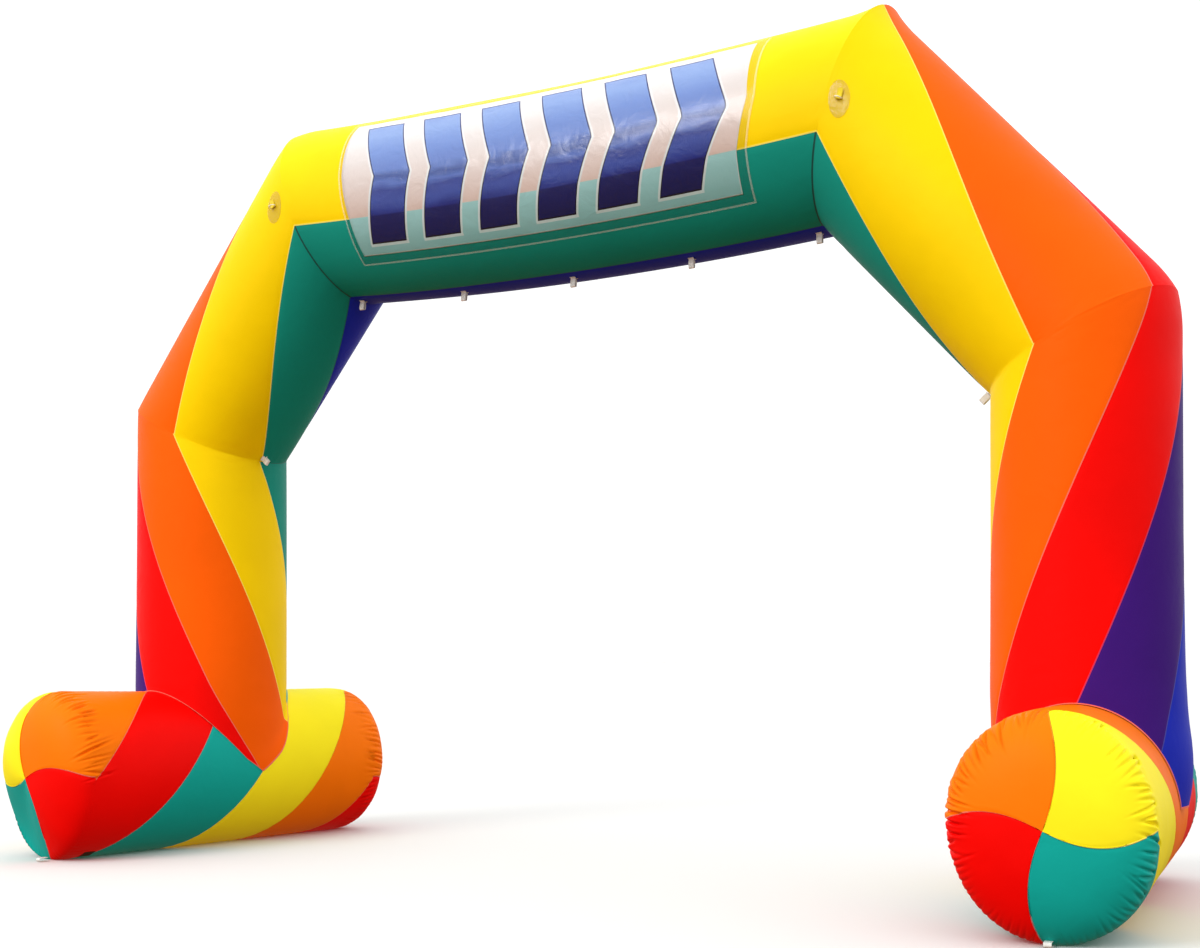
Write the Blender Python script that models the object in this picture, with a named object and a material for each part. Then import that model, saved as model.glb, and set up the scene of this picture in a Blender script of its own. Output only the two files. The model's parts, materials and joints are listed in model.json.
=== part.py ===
"""Inflatable arch: mitred air tubes on two base tubes, with its banner, anchors and loops.

Metres, +Z up. X runs along the beam, Y from front to back, and the origin lies on the ground at
the middle of the footprint. Heights are first given "as drawn", for round tubes, and multiplied
by TALL, because every tube of this arch stands taller than it is deep.
"""

import math
from typing import Callable, NamedTuple

import bmesh
import bpy
from mathutils import Vector

# ---- driving dimensions -------------------------------------------------------------------------
TALL = 1.191              # height of a tube over its depth
GAP = 0.0003              # clearance between neighbouring pieces
SIDES = 40                # facets round a tube
STEP = 2 * math.pi / SIDES

TUBE_R = 0.400            # legs
KNEE_R = 0.406            # seams between legs and diagonals
SHOULDER_R = 0.419        # seams between diagonals and beam
BEAM_R = 0.417            # middle of the beam
ARCH_Y = 0.050            # the legs stand this far behind the middle of the base tubes
FOOT_X = 2.512            # axis of a leg at the ground
SAG = 0.036               # of the beam's middle, as drawn
CORNER_REACH = 0.15       # length of tube over which the air rounds off a mitre's outer point

BASE_X = 2.530            # middle of a base tube
BASE_DEPTH_R = 0.3856     # half its width
BASE_DRAWN_R = 0.3584     # half its height, as drawn
BASE_HALF = 0.9156        # half its length, between the seams of its caps
BASE_TOE = math.radians(7.33)   # its front end points outwards by this angle
BASE_PRESS = 0.008        # flattening where it lies on the ground
CAP_BULGE = 0.180         # of an end cap, in front of its seam
CAP_RINGS = 6
CAP_FULLNESS = 0.75       # below 1, a dome stays wide further from its seam

BANNER_THICK = 0.0012
COVER_THICK = 0.0010
SHEET_MARGIN = 0.02       # rings of the beam this near to a sheet's side are left out, as shares
WEBBING_THICK = 0.0018
LOOP_WIDTH = 0.030
LOOP_DROP = 0.050
LOOP_R = 0.0075           # of the loop's round end
LOOP_NECK = 0.6           # half-width of the loop where it leaves the cloth, against its end's
LOOP_WAIST = 0.45         # share of the drop at which it is as wide as its end
LOOP_TAIL = 0.012         # length of the sewn tails
LOOP_BEND = 0.004         # of the corner between a tail and the loop
LOOP_FIRST_X = -1.455     # of the row of loops under the beam
LOOP_LAST_X = 1.293
LOOP_COUNT = 5
LOOP_SIDE = (math.pi - STEP) / 2   # the loops sit on a facet that faces the passage
KNEE_LOOP_UP = 0.024      # from the knee's inner corner, up the diagonal
PATCH_R = 0.064
PATCH_SIDES = 20
PATCH_RINGS = (0.33, 0.67, 1.0)    # as shares of its radius
PATCH_THICK = 0.0015
PATCH_LIFT = 0.0012       # of a round patch above the facets, which clears the ridges between them
RING_WIRE_R = 0.0024
RING_WIRE_SIDES = 8
RING_HALF_BAR = 0.0165    # half the straight side of the D
RING_DEPTH = 0.026        # from the straight side to the top of the bow
RING_STEPS = 10           # of the bow
STRAP_WIDTH = 0.025
STRAP_LENGTH = 0.046      # from the ring's bar to the sewn end
STRAP_CLOSING = ((0.004, 0.0050), (0.014, 0.0004), (0.020, 0.0))   # upper layer: along and above

GROUND_LOOP_ACROSS = {"left": -0.060, "right": 0.0}    # off the tube's axis
GROUND_LOOP_HIGH = 0.020
GROUND_LOOP_WIDE = 0.030
GROUND_LOOP_LONG = 0.046
GROUND_PATCH_INSIDE = (0.145, 0.085)    # its ends, behind the seam of the front cap
GROUND_PATCH_FACETS = (1.4, 2.0, 3.0)   # its lines, as facets up from the tube's lowest line
GROUND_PATCH_TURN = {"left": -1.0, "right": 1.0}
FOLD_STEPS = 8            # of half a turn of webbing

BEAM_ROWS = (0.0, 0.013, 0.028, 0.048, 0.2, 0.35, 0.5, 0.65, 0.8, 0.952, 0.972, 0.987, 1.0)
DIAGONAL_ROWS = (0.0, 0.03, 0.065, 0.11, 0.5, 0.89, 0.935, 0.97, 1.0)
LEG_TOP_ROWS = (0.92, 0.95, 0.975, 1.0)


class Corner(NamedTuple):
    """Where two tubes meet: place and height of the axis, as drawn, and the outer point's rounding."""

    x: float
    height: float
    rounding: float       # below zero the outer point is drawn out to a peak


KNEES = {"left": Corner(-2.582, 1.941, 0.004), "right": Corner(2.539, 1.999, 0.018)}
SHOULDERS = {"left": Corner(-1.671, 2.912, 0.016), "right": Corner(1.496, 2.950, -0.018)}


class FootRow(NamedTuple):
    """Shape of a leg's foot: height above the base tube's axis, as drawn, and width factor."""

    height: float
    width: float


FOOT_ROWS = (FootRow(0.0, 0.958), FootRow(0.10, 0.975), FootRow(0.22, 1.0),
             FootRow(0.38, 1.015), FootRow(0.62, 1.008), FootRow(0.95, 1.0))


class EndRow(NamedTuple):
    """Shape of a base tube's end: distance inside its seam and size factor."""

    inside: float
    size: float


END_ROWS = (EndRow(0.0, 0.982), EndRow(0.03, 0.995), EndRow(0.08, 1.0))


class SheetEdge(NamedTuple):
    """A sheet's outline on the beam: angle down from the front, left edge and right edge."""

    degrees: float
    left: float
    right: float


BANNER_EDGE = (SheetEdge(-55.0, -1.322, 1.072), SheetEdge(-10.0, -1.285, 1.105),
               SheetEdge(17.5, -1.236, 1.045), SheetEdge(41.5, -1.205, 1.036))
COVER_EDGE = (SheetEdge(-59.0, -1.345, 1.138), SheetEdge(-10.0, -1.305, 1.150),
              SheetEdge(17.5, -1.262, 1.100), SheetEdge(48.0, -1.232, 1.092))


class Anchor(NamedTuple):
    """A ring anchor on a diagonal's front: place along it, angle, and turn of its strap."""

    place: float
    degrees: float
    turn: float


ANCHORS = {"left": Anchor(0.937, -4.5, 120.0), "right": Anchor(0.945, -4.5, 75.0)}


# ---- helpers ------------------------------------------------------------------------------------
def clear_scene() -> None:
    """Remove every object, so that the file can be run again."""
    for item in list(bpy.data.objects):
        bpy.data.objects.remove(item, do_unlink=True)


def finish(name: str, colour: tuple[float, float, float], roughness: float) -> bpy.types.Material:
    """A plain Principled material."""
    material = bpy.data.materials.new(name)
    material.use_nodes = True
    shader = material.node_tree.nodes["Principled BSDF"]
    shader.inputs["Base Color"].default_value = (*colour, 1.0)
    shader.inputs["Roughness"].default_value = roughness
    shader.inputs["Metallic"].default_value = 0.0
    return material


def add_object(name: str, mesh: bmesh.types.BMesh, material: bpy.types.Material) -> bpy.types.Object:
    """Turn a closed bmesh into a named object with its faces pointing out."""
    bmesh.ops.recalc_face_normals(mesh, faces=mesh.faces)
    data = bpy.data.meshes.new(name)
    mesh.to_mesh(data)
    mesh.free()
    data.materials.append(material)
    data.shade_smooth()
    data.set_sharp_from_angle(angle=math.radians(35))
    item = bpy.data.objects.new(name, data)
    bpy.context.scene.collection.objects.link(item)
    return item


def loft(rings: list[list[Vector]], tip: Vector | None = None) -> bmesh.types.BMesh:
    """Close a row of rings into a solid: flat at its start, flat or pointed at its end."""
    mesh = bmesh.new()
    rows = [[mesh.verts.new(point) for point in ring] for ring in rings]
    count = len(rows[0])
    for low, high in zip(rows, rows[1:]):
        for k in range(count):
            following = (k + 1) % count
            mesh.faces.new((low[k], low[following], high[following], high[k]))
    mesh.faces.new(rows[0])
    if tip is None:
        mesh.faces.new(rows[-1])
    else:
        end = mesh.verts.new(tip)
        for k in range(count):
            mesh.faces.new((rows[-1][k], rows[-1][(k + 1) % count], end))
    return mesh


def between(table: tuple, key: float, column: int) -> float:
    """Read a column of a table with rising first column, straight between its rows."""
    if key <= table[0][0]:
        return table[0][column]
    for low, high in zip(table, table[1:]):
        if key <= high[0]:
            part = (key - low[0]) / (high[0] - low[0])
            return low[column] + part * (high[column] - low[column])
    return table[-1][column]


# ---- tubes of the arch --------------------------------------------------------------------------
class Seam(NamedTuple):
    """A mitre seam: an ellipse in the plane that halves the angle between two tubes."""

    centre: Vector        # as drawn
    inward: Vector        # in the seam's plane, towards the passage
    radius: float
    reach: float          # half the seam's long axis
    rounding: float

    def point(self, angle: float) -> Vector:
        """A point of the seam; the angle runs from the front towards the passage."""
        side = self.inward * (self.reach * math.sin(angle))
        return self.centre + side - Vector((0, self.radius * math.cos(angle), 0))


def mitre(corner: Corner, before: Vector, after: Vector, radius: float) -> Seam:
    """The seam at a corner of the arch between its neighbouring corners."""
    centre = drawn(corner)
    one = (before - centre).normalized()
    other = (after - centre).normalized()
    reach = radius / math.sin(one.angle(other) / 2)
    return Seam(centre, (one + other).normalized(), radius, reach, corner.rounding)


def drawn(corner: Corner) -> Vector:
    """A corner's place as drawn."""
    return Vector((corner.x, ARCH_Y, corner.height))


def stretched(point: Vector) -> Vector:
    """From a place as drawn to its place in the arch."""
    return Vector((point.x, point.y, point.z * TALL))


def arch_seams() -> dict[str, Seam]:
    """The four mitre seams, from the corners of the arch's axis."""
    feet = {side: Vector((math.copysign(FOOT_X, KNEES[side].x), ARCH_Y, 0)) for side in KNEES}
    knees = {side: drawn(KNEES[side]) for side in KNEES}
    shoulders = {side: drawn(SHOULDERS[side]) for side in SHOULDERS}
    other = {"left": "right", "right": "left"}
    seams = {}
    for side in KNEES:
        seams["knee_" + side] = mitre(KNEES[side], feet[side], shoulders[side], KNEE_R)
        seams["shoulder_" + side] = mitre(SHOULDERS[side], knees[side], shoulders[other[side]],
                                          SHOULDER_R)
    return seams


class Span(NamedTuple):
    """A tube between two seams, drawn with straight lines and then sagged and softened."""

    start: Callable[[float], Vector]
    end: Callable[[float], Vector]
    rows: tuple[float, ...]
    start_rounding: Vector
    end_rounding: Vector
    sag: float
    slack: float          # narrowing of the middle, as a radius

    def surface(self, place: float, angle: float) -> Vector:
        """A point of the true, round surface, in the arch."""
        first = self.start(angle)
        last = self.end(angle)
        length = (last - first).length
        trim = GAP / (2 * length)
        point = first.lerp(last, min(max(place, trim), 1 - trim))
        outer = max(0.0, -math.sin(angle)) ** 1.5
        for rounding, distance in ((self.start_rounding, place), (self.end_rounding, 1 - place)):
            fade = max(0.0, 1 - distance * length / CORNER_REACH)
            point = point + rounding * (outer * fade * fade)
        middle = 4 * place * (1 - place)
        point = point - Vector((0, 0, self.sag * middle))
        point.y += self.slack * middle * math.cos(angle)
        return stretched(point)

    def facet(self, place: float, angle: float, lift: float = 0.0) -> Vector:
        """A point on the faceted solid, raised by lift."""
        column = math.floor(angle / STEP)
        side = angle / STEP - column
        row = max(k for k, edge in enumerate(self.rows[:-1]) if edge <= place)
        low, high = self.rows[row], self.rows[row + 1]
        part = (place - low) / (high - low)
        corners = [self.surface(low, column * STEP).lerp(self.surface(high, column * STEP), part),
                   self.surface(low, (column + 1) * STEP).lerp(
                       self.surface(high, (column + 1) * STEP), part)]
        return corners[0].lerp(corners[1], side) + self.outward(place, angle) * lift

    def along(self, place: float, angle: float) -> Vector:
        """The direction of the tube at a point, from its start to its end."""
        nudge = 0.01
        return (self.surface(place + nudge, angle) - self.surface(place - nudge, angle)).normalized()

    def round_about(self, place: float, angle: float) -> Vector:
        """The direction round the tube at a point, towards growing angles."""
        nudge = 0.01
        return (self.surface(place, angle + nudge) - self.surface(place, angle - nudge)).normalized()

    def outward(self, place: float, angle: float) -> Vector:
        """The direction away from the tube's middle at a point."""
        normal = self.along(place, angle).cross(self.round_about(place, angle)).normalized()
        middle = (self.surface(place, 0.0) + self.surface(place, math.pi)) / 2
        return normal if normal.dot(self.surface(place, angle) - middle) > 0 else -normal

    def rings(self) -> list[list[Vector]]:
        """The solid's rings."""
        return [[self.surface(place, k * STEP) for k in range(SIDES)] for place in self.rows]


def beam_span(seams: dict[str, Seam]) -> Span:
    """The beam, from the left shoulder to the right one."""
    left, right = seams["shoulder_left"], seams["shoulder_right"]
    return Span(left.point, right.point, BEAM_ROWS, left.inward * left.rounding,
                right.inward * right.rounding, SAG, SHOULDER_R - BEAM_R)


def diagonal_span(seams: dict[str, Seam], side: str) -> Span:
    """A diagonal, from its knee up to its shoulder."""
    knee, shoulder = seams["knee_" + side], seams["shoulder_" + side]
    return Span(knee.point, shoulder.point, DIAGONAL_ROWS, knee.inward * knee.rounding,
                shoulder.inward * shoulder.rounding, 0.0, 0.0)


def leg_rings(seams: dict[str, Seam], side: str) -> list[list[Vector]]:
    """A leg's rings, from the base tube's axis up to the knee seam."""
    knee = seams["knee_" + side]
    sign = math.copysign(1.0, KNEES[side].x)

    def foot(angle: float) -> Vector:
        return Vector((sign * (FOOT_X - TUBE_R * math.sin(angle)),
                       ARCH_Y - TUBE_R * math.cos(angle), 0))

    span = Span(foot, knee.point, (), Vector((0, 0, 0)), knee.inward * knee.rounding, 0.0, 0.0)
    rings = []
    for row in FOOT_ROWS:
        place = (BASE_DRAWN_R + row.height) / KNEES[side].height
        ring = [span.surface(place, k * STEP) for k in range(SIDES)]
        axis_x = sum(point.x for point in ring) / SIDES
        rings.append([Vector((axis_x + (point.x - axis_x) * row.width, point.y,
                              ring[0].z)) for point in ring])
    for place in LEG_TOP_ROWS:
        rings.append([span.surface(place, k * STEP) for k in range(SIDES)])
    return rings


# ---- base tubes ---------------------------------------------------------------------------------
class Base(NamedTuple):
    """A base tube's own frame."""

    sign: float

    @property
    def forward(self) -> Vector:
        """Along the tube, towards its front end."""
        return Vector((self.sign * math.sin(BASE_TOE), -math.cos(BASE_TOE), 0))

    @property
    def outward(self) -> Vector:
        """Across the tube, away from the passage."""
        return Vector((self.sign * math.cos(BASE_TOE), math.sin(BASE_TOE), 0))

    def point(self, ahead: float, angle: float, size: float, grow: float = 0.0) -> Vector:
        """A point of the tube's surface; the angle runs from the outer side over the top."""
        across = (BASE_DEPTH_R * size + grow) * math.cos(angle)
        rise = (BASE_DRAWN_R * TALL * size + grow) * math.sin(angle)
        axis = Vector((self.sign * BASE_X, 0, BASE_DRAWN_R * TALL - BASE_PRESS))
        place = axis + self.forward * ahead + self.outward * across + Vector((0, 0, rise))
        place.z = max(place.z, 0.0)
        return place

    def ring(self, ahead: float, size: float, grow: float = 0.0) -> list[Vector]:
        """A ring round the tube."""
        return [self.point(ahead, k * STEP, size, grow) for k in range(SIDES)]


def add_base_tube(side: str, base: Base, material: bpy.types.Material) -> None:
    """A base tube between the seams of its caps."""
    front = [(BASE_HALF - GAP / 2 - row.inside, row.size) for row in END_ROWS]
    back = [(-ahead, size) for ahead, size in reversed(front)]
    rings = [base.ring(ahead, size) for ahead, size in front + back]
    add_object("base_tube_" + side, loft(rings), material)


def cap_rows() -> list[tuple[float, float]]:
    """The dome of a cap: distance in front of its seam and size factor of each ring."""
    turns = [0.5 * math.pi * k / CAP_RINGS for k in range(CAP_RINGS)]
    return [(CAP_BULGE * math.sin(turn), END_ROWS[0].size * math.cos(turn) ** CAP_FULLNESS)
            for turn in turns]


def add_cap(side: str, end: str, base: Base, material: bpy.types.Material) -> None:
    """A domed end cap, from its seam to the point where its panels meet."""
    way = 1.0 if end == "front" else -1.0
    seam = BASE_HALF + GAP / 2
    rings = [base.ring(way * (seam + ahead), size) for ahead, size in cap_rows()]
    tip = base.point(way * (seam + CAP_BULGE), 0.0, 0.0)
    add_object("base_cap_{}_{}".format(side, end), loft(rings, tip), material)


def add_leg(side: str, base: Base, seams: dict[str, Seam], material: bpy.types.Material) -> None:
    """A leg, cut to sit astride its base tube."""
    leg = add_object("leg_" + side, loft(leg_rings(seams, side)), material)
    reach = BASE_HALF - END_ROWS[-1].inside
    cutter = add_object("saddle_cutter_" + side,
                        loft([base.ring(reach, 1.0, GAP), base.ring(-reach, 1.0, GAP)]), material)
    cutter.hide_render = True
    cutter.display_type = "WIRE"
    cut = leg.modifiers.new("saddle", "BOOLEAN")
    cut.operation = "DIFFERENCE"
    cut.solver = "EXACT"
    cut.object = cutter


# ---- sheets on the beam -------------------------------------------------------------------------
def sheet_angles(edges: tuple[SheetEdge, ...]) -> list[float]:
    """The angles of a sheet's columns: its edges and the beam's own facet lines between."""
    low, high = math.radians(edges[0].degrees), math.radians(edges[-1].degrees)
    first, last = math.ceil(low / STEP), math.floor(high / STEP)
    return [low] + [k * STEP for k in range(first, last + 1)] + [high]


def place_at(span: Span, x: float, angle: float) -> float:
    """Where along a span, at an angle, its surface has a given x."""
    return (x - span.start(angle).x) / (span.end(angle).x - span.start(angle).x)


def add_sheet(name: str, span: Span, edges: tuple[SheetEdge, ...], lift: float, thickness: float,
              material: bpy.types.Material) -> None:
    """A thin sheet that follows the front of the beam."""
    columns = []
    for angle in sheet_angles(edges):
        degrees = math.degrees(angle)
        left = place_at(span, between(edges, degrees, 1), angle)
        right = place_at(span, between(edges, degrees, 2), angle)
        places = [left]
        places += [row for row in span.rows if left + SHEET_MARGIN < row < right - SHEET_MARGIN]
        places.append(right)
        under = [span.facet(place, angle, lift) for place in places]
        over = [span.facet(place, angle, lift + thickness) for place in reversed(places)]
        columns.append(under + over)
    add_object(name, loft(columns), material)


# ---- webbing ------------------------------------------------------------------------------------
class Local(NamedTuple):
    """A small frame on a surface."""

    origin: Vector
    across: Vector        # in the plane of the webbing's path
    out: Vector           # away from the surface
    width: Vector         # along the webbing's width

    def place(self, across: float, out: float, width: float) -> Vector:
        """A point of the frame."""
        return self.origin + self.across * across + self.out * out + self.width * width


def add_webbing(name: str, frame: Local, path: list[tuple[float, float]], width: float,
                material: bpy.types.Material) -> None:
    """A flat strap of even thickness that follows a path of (across, out) places."""
    half = WEBBING_THICK / 2
    rings = []
    for k, (across, out) in enumerate(path):
        before = path[max(k - 1, 0)]
        after = path[min(k + 1, len(path) - 1)]
        run = Vector((after[0] - before[0], after[1] - before[1])).normalized()
        side = (-run.y * half, run.x * half)
        rings.append([frame.place(across + side[0], out + side[1], -width / 2),
                      frame.place(across - side[0], out - side[1], -width / 2),
                      frame.place(across - side[0], out - side[1], width / 2),
                      frame.place(across + side[0], out + side[1], width / 2)])
    add_object(name, loft(rings), material)


def loop_path() -> list[tuple[float, float]]:
    """A hanging loop: a sewn tail, down, round the end, up again and the other tail."""
    start = GAP + WEBBING_THICK / 2
    neck = LOOP_NECK * LOOP_R
    level = LOOP_DROP - LOOP_R
    down = [(-neck - LOOP_TAIL, start), (-neck - LOOP_BEND, start), (-neck, start + LOOP_BEND),
            (-LOOP_R, LOOP_WAIST * LOOP_DROP), (-LOOP_R, level)]
    turns = [k * math.pi / FOLD_STEPS for k in range(1, FOLD_STEPS)]
    arc = [(-LOOP_R * math.cos(turn), level + LOOP_R * math.sin(turn)) for turn in turns]
    return down + arc + [(-x, out) for x, out in reversed(down)]


def span_frame(span: Span, place: float, angle: float) -> Local:
    """A frame on a tube, with its width along the tube."""
    return Local(span.facet(place, angle), span.round_about(place, angle),
                 span.outward(place, angle), span.along(place, angle))


def add_hanging_loops(beam: Span, diagonals: dict[str, Span], material: bpy.types.Material) -> None:
    """The row of loops under the beam, and one in each knee's inner corner."""
    path = loop_path()
    for k in range(LOOP_COUNT):
        x = LOOP_FIRST_X + k * (LOOP_LAST_X - LOOP_FIRST_X) / (LOOP_COUNT - 1)
        frame = span_frame(beam, place_at(beam, x, LOOP_SIDE), LOOP_SIDE)
        add_webbing("beam_loop_{}".format(k + 1), frame, path, LOOP_WIDTH, material)
    for side, diagonal in diagonals.items():
        length = (diagonal.surface(1, LOOP_SIDE) - diagonal.surface(0, LOOP_SIDE)).length
        frame = span_frame(diagonal, KNEE_LOOP_UP / length, LOOP_SIDE)
        add_webbing("knee_loop_" + side, frame, path, LOOP_WIDTH, material)


# ---- ring anchors -------------------------------------------------------------------------------
def add_anchor(side: str, span: Span, materials: dict[str, bpy.types.Material]) -> None:
    """A round patch on the diagonal's front, with a webbing strap that holds a D ring."""
    anchor = ANCHORS[side]
    angle = math.radians(anchor.degrees)
    length = (span.surface(1, angle) - span.surface(0, angle)).length

    def on_patch(distance: float, turn: float, lift: float) -> Vector:
        place = anchor.place + distance * math.sin(turn) / length
        return span.facet(place, angle + distance * math.cos(turn) / SHOULDER_R, lift)

    mesh = bmesh.new()
    turns = [2 * math.pi * k / PATCH_SIDES for k in range(PATCH_SIDES)]
    layers = {}
    for lift in (PATCH_LIFT, PATCH_LIFT + PATCH_THICK):
        middle = mesh.verts.new(on_patch(0.0, 0.0, lift))
        rings = [[mesh.verts.new(on_patch(PATCH_R * part, turn, lift)) for turn in turns]
                 for part in PATCH_RINGS]
        layers[lift] = rings[-1]
        for k in range(len(turns)):
            following = (k + 1) % len(turns)
            mesh.faces.new((middle, rings[0][k], rings[0][following]))
            for small, large in zip(rings, rings[1:]):
                mesh.faces.new((small[k], large[k], large[following], small[following]))
    under, over = layers.values()
    for k in range(len(turns)):
        following = (k + 1) % len(turns)
        mesh.faces.new((under[k], under[following], over[following], over[k]))
    add_object("anchor_patch_" + side, mesh, materials["vinyl"])

    centre = span.facet(anchor.place, angle, PATCH_LIFT + PATCH_THICK)
    out = span.outward(anchor.place, angle)
    up = (Vector((0, 0, 1)) - out * out.z).normalized()
    right = up.cross(out).normalized()
    tilt = math.radians(anchor.turn)
    run = (up * math.sin(tilt) + right * math.cos(tilt)).normalized()
    frame = Local(centre, run, out, run.cross(out).normalized())
    add_strap_and_ring(side, frame, materials)


def add_strap_and_ring(side: str, frame: Local, materials: dict[str, bpy.types.Material]) -> None:
    """The strap folded round the ring's bar, and the ring that stands out from it."""
    clear = RING_WIRE_R + GAP
    turn_r = clear + WEBBING_THICK / 2
    lower = GAP + WEBBING_THICK / 2
    bar_out = lower + turn_r
    upper = lower + WEBBING_THICK + GAP
    path = [(STRAP_LENGTH, lower), (0.0, lower)]
    for k in range(1, FOLD_STEPS):
        turn = k * math.pi / FOLD_STEPS
        path.append((-turn_r * math.sin(turn), bar_out - turn_r * math.cos(turn)))
    path.append((0.0, bar_out + turn_r))
    path += [(along, upper + above) for along, above in STRAP_CLOSING]
    path.append((STRAP_LENGTH, upper))
    add_webbing("anchor_strap_" + side, frame, path, STRAP_WIDTH, materials["yellow"])

    centre_line = [(RING_HALF_BAR * (2 * k / 4 - 1), 0.0) for k in range(5)]
    for k in range(1, RING_STEPS):
        turn = math.pi * k / RING_STEPS
        centre_line.append((RING_HALF_BAR * math.cos(turn), RING_DEPTH * math.sin(turn)))
    rings = []
    count = len(centre_line)
    for k, (along, out) in enumerate(centre_line):
        before = centre_line[(k - 1) % count]
        after = centre_line[(k + 1) % count]
        run = Vector((after[0] - before[0], after[1] - before[1])).normalized()
        ring = []
        for step in range(RING_WIRE_SIDES):
            spin = 2 * math.pi * step / RING_WIRE_SIDES
            sideways = RING_WIRE_R * math.cos(spin)
            ring.append(frame.place(RING_WIRE_R * math.sin(spin), bar_out + out + sideways * run.x,
                                    along - sideways * run.y))
        rings.append(ring)
    mesh = bmesh.new()
    rows = [[mesh.verts.new(point) for point in ring] for ring in rings]
    for k in range(count):
        low, high = rows[k], rows[(k + 1) % count]
        for step in range(RING_WIRE_SIDES):
            following = (step + 1) % RING_WIRE_SIDES
            mesh.faces.new((low[step], low[following], high[following], high[step]))
    add_object("anchor_ring_" + side, mesh, materials["white"])


# ---- ground pieces ------------------------------------------------------------------------------
def underside(base: Base, ahead: float, across: float) -> float:
    """Height of a front cap's facets at a place ahead of its seam and off the tube's axis."""
    ring = base.ring(BASE_HALF + ahead, between(cap_rows(), ahead, 1))
    middle = Vector((base.sign * BASE_X, 0, 0)) + base.forward * (BASE_HALF + ahead)
    lower = [((point - middle).dot(base.outward), point.z) for point in ring[SIDES // 2:] + ring[:1]]
    return between(tuple(lower), across, 1)


def add_ground_pieces(side: str, base: Base, materials: dict[str, bpy.types.Material]) -> None:
    """A webbing loop under the front cap's edge, and a dark patch beside the tube's flat."""
    across = GROUND_LOOP_ACROSS[side]
    low_side = math.copysign(max(0.0, abs(across) - GROUND_LOOP_WIDE / 2), across)
    ahead = 0.0
    while underside(base, ahead, low_side) < GROUND_LOOP_HIGH + 2 * GAP:
        ahead += 0.0001       # forward, until the loop clears the cap above it
    ground = Vector((base.sign * BASE_X, 0, GAP + WEBBING_THICK / 2))
    origin = ground + base.forward * (BASE_HALF + ahead) + base.outward * across
    frame = Local(origin, base.forward, Vector((0, 0, 1)), base.outward)
    top = GROUND_LOOP_HIGH - WEBBING_THICK - GAP
    radius = top / 2
    level = GROUND_LOOP_LONG - radius
    path = [(0.0, 0.0), (level, 0.0)]
    for k in range(1, FOLD_STEPS):
        turn = k * math.pi / FOLD_STEPS
        path.append((level + radius * math.sin(turn), radius - radius * math.cos(turn)))
    path += [(level, top), (0.0, top)]
    add_webbing("ground_loop_" + side, frame, path, GROUND_LOOP_WIDE, materials["white"])

    turned = GROUND_PATCH_TURN[side]
    angles = [-0.5 * math.pi + turned * k * STEP for k in GROUND_PATCH_FACETS]
    mesh_rings = []
    for inside in GROUND_PATCH_INSIDE:
        ahead = BASE_HALF - inside
        under = [facet_point(base, ahead, angle, GAP) for angle in angles]
        over = [facet_point(base, ahead, angle, GAP + PATCH_THICK)
                for angle in reversed(angles)]
        mesh_rings.append(under + over)
    add_object("ground_patch_" + side, loft(mesh_rings), materials["dark"])


def facet_point(base: Base, ahead: float, angle: float, lift: float) -> Vector:
    """A point of the base tube's facets, raised by lift."""
    column = math.floor(angle / STEP)
    size = between(END_ROWS, BASE_HALF - abs(ahead), 1)
    low = base.point(ahead, column * STEP, size, lift)
    high = base.point(ahead, (column + 1) * STEP, size, lift)
    return low.lerp(high, angle / STEP - column)


# ---- the arch -----------------------------------------------------------------------------------
def main() -> None:
    """Build the whole arch."""
    clear_scene()
    materials = {
        "orange": finish("coated_fabric_orange", (0.95, 0.22, 0.02), 0.45),
        "red": finish("coated_fabric_red", (0.85, 0.01, 0.01), 0.45),
        "yellow": finish("coated_fabric_yellow", (0.93, 0.73, 0.01), 0.45),
        "teal": finish("coated_fabric_teal", (0.01, 0.36, 0.32), 0.45),
        "print": finish("printed_banner_vinyl", (0.70, 0.78, 0.86), 0.25),
        "vinyl": finish("clear_vinyl", (0.85, 0.85, 0.70), 0.15),
        "white": finish("white_webbing", (0.85, 0.85, 0.83), 0.70),
        "dark": finish("dark_patch", (0.04, 0.03, 0.02), 0.60),
    }
    seams = arch_seams()
    beam = beam_span(seams)
    add_object("beam", loft(beam.rings()), materials["yellow"])
    diagonals = {side: diagonal_span(seams, side) for side in KNEES}
    for side, diagonal in diagonals.items():
        add_object("diagonal_" + side, loft(diagonal.rings()), materials["orange"])
        base = Base(math.copysign(1.0, KNEES[side].x))
        add_base_tube(side, base, materials["red"])
        add_cap(side, "front", base, materials["teal"])
        add_cap(side, "back", base, materials["teal"])
        add_leg(side, base, seams, materials["orange"])
        add_anchor(side, diagonal, materials)
        add_ground_pieces(side, base, materials)
    add_sheet("banner", beam, BANNER_EDGE, GAP, BANNER_THICK, materials["print"])
    add_sheet("banner_cover", beam, COVER_EDGE, 2 * GAP + BANNER_THICK, COVER_THICK,
              materials["vinyl"])
    add_hanging_loops(beam, diagonals, materials["white"])


main()
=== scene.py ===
"""Dress the inflatable arch: striped air tubes, banner under its cover, anchors and loops.

Metres, +Z up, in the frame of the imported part. X runs along the beam and Y from front to back.
Heights are first given "as drawn", for round tubes, and multiplied by TALL, because every tube
of this arch stands taller than it is deep.
"""

import json
import logging
import math
from dataclasses import dataclass
from enum import Enum, IntEnum
from typing import Callable, Sequence

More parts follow.
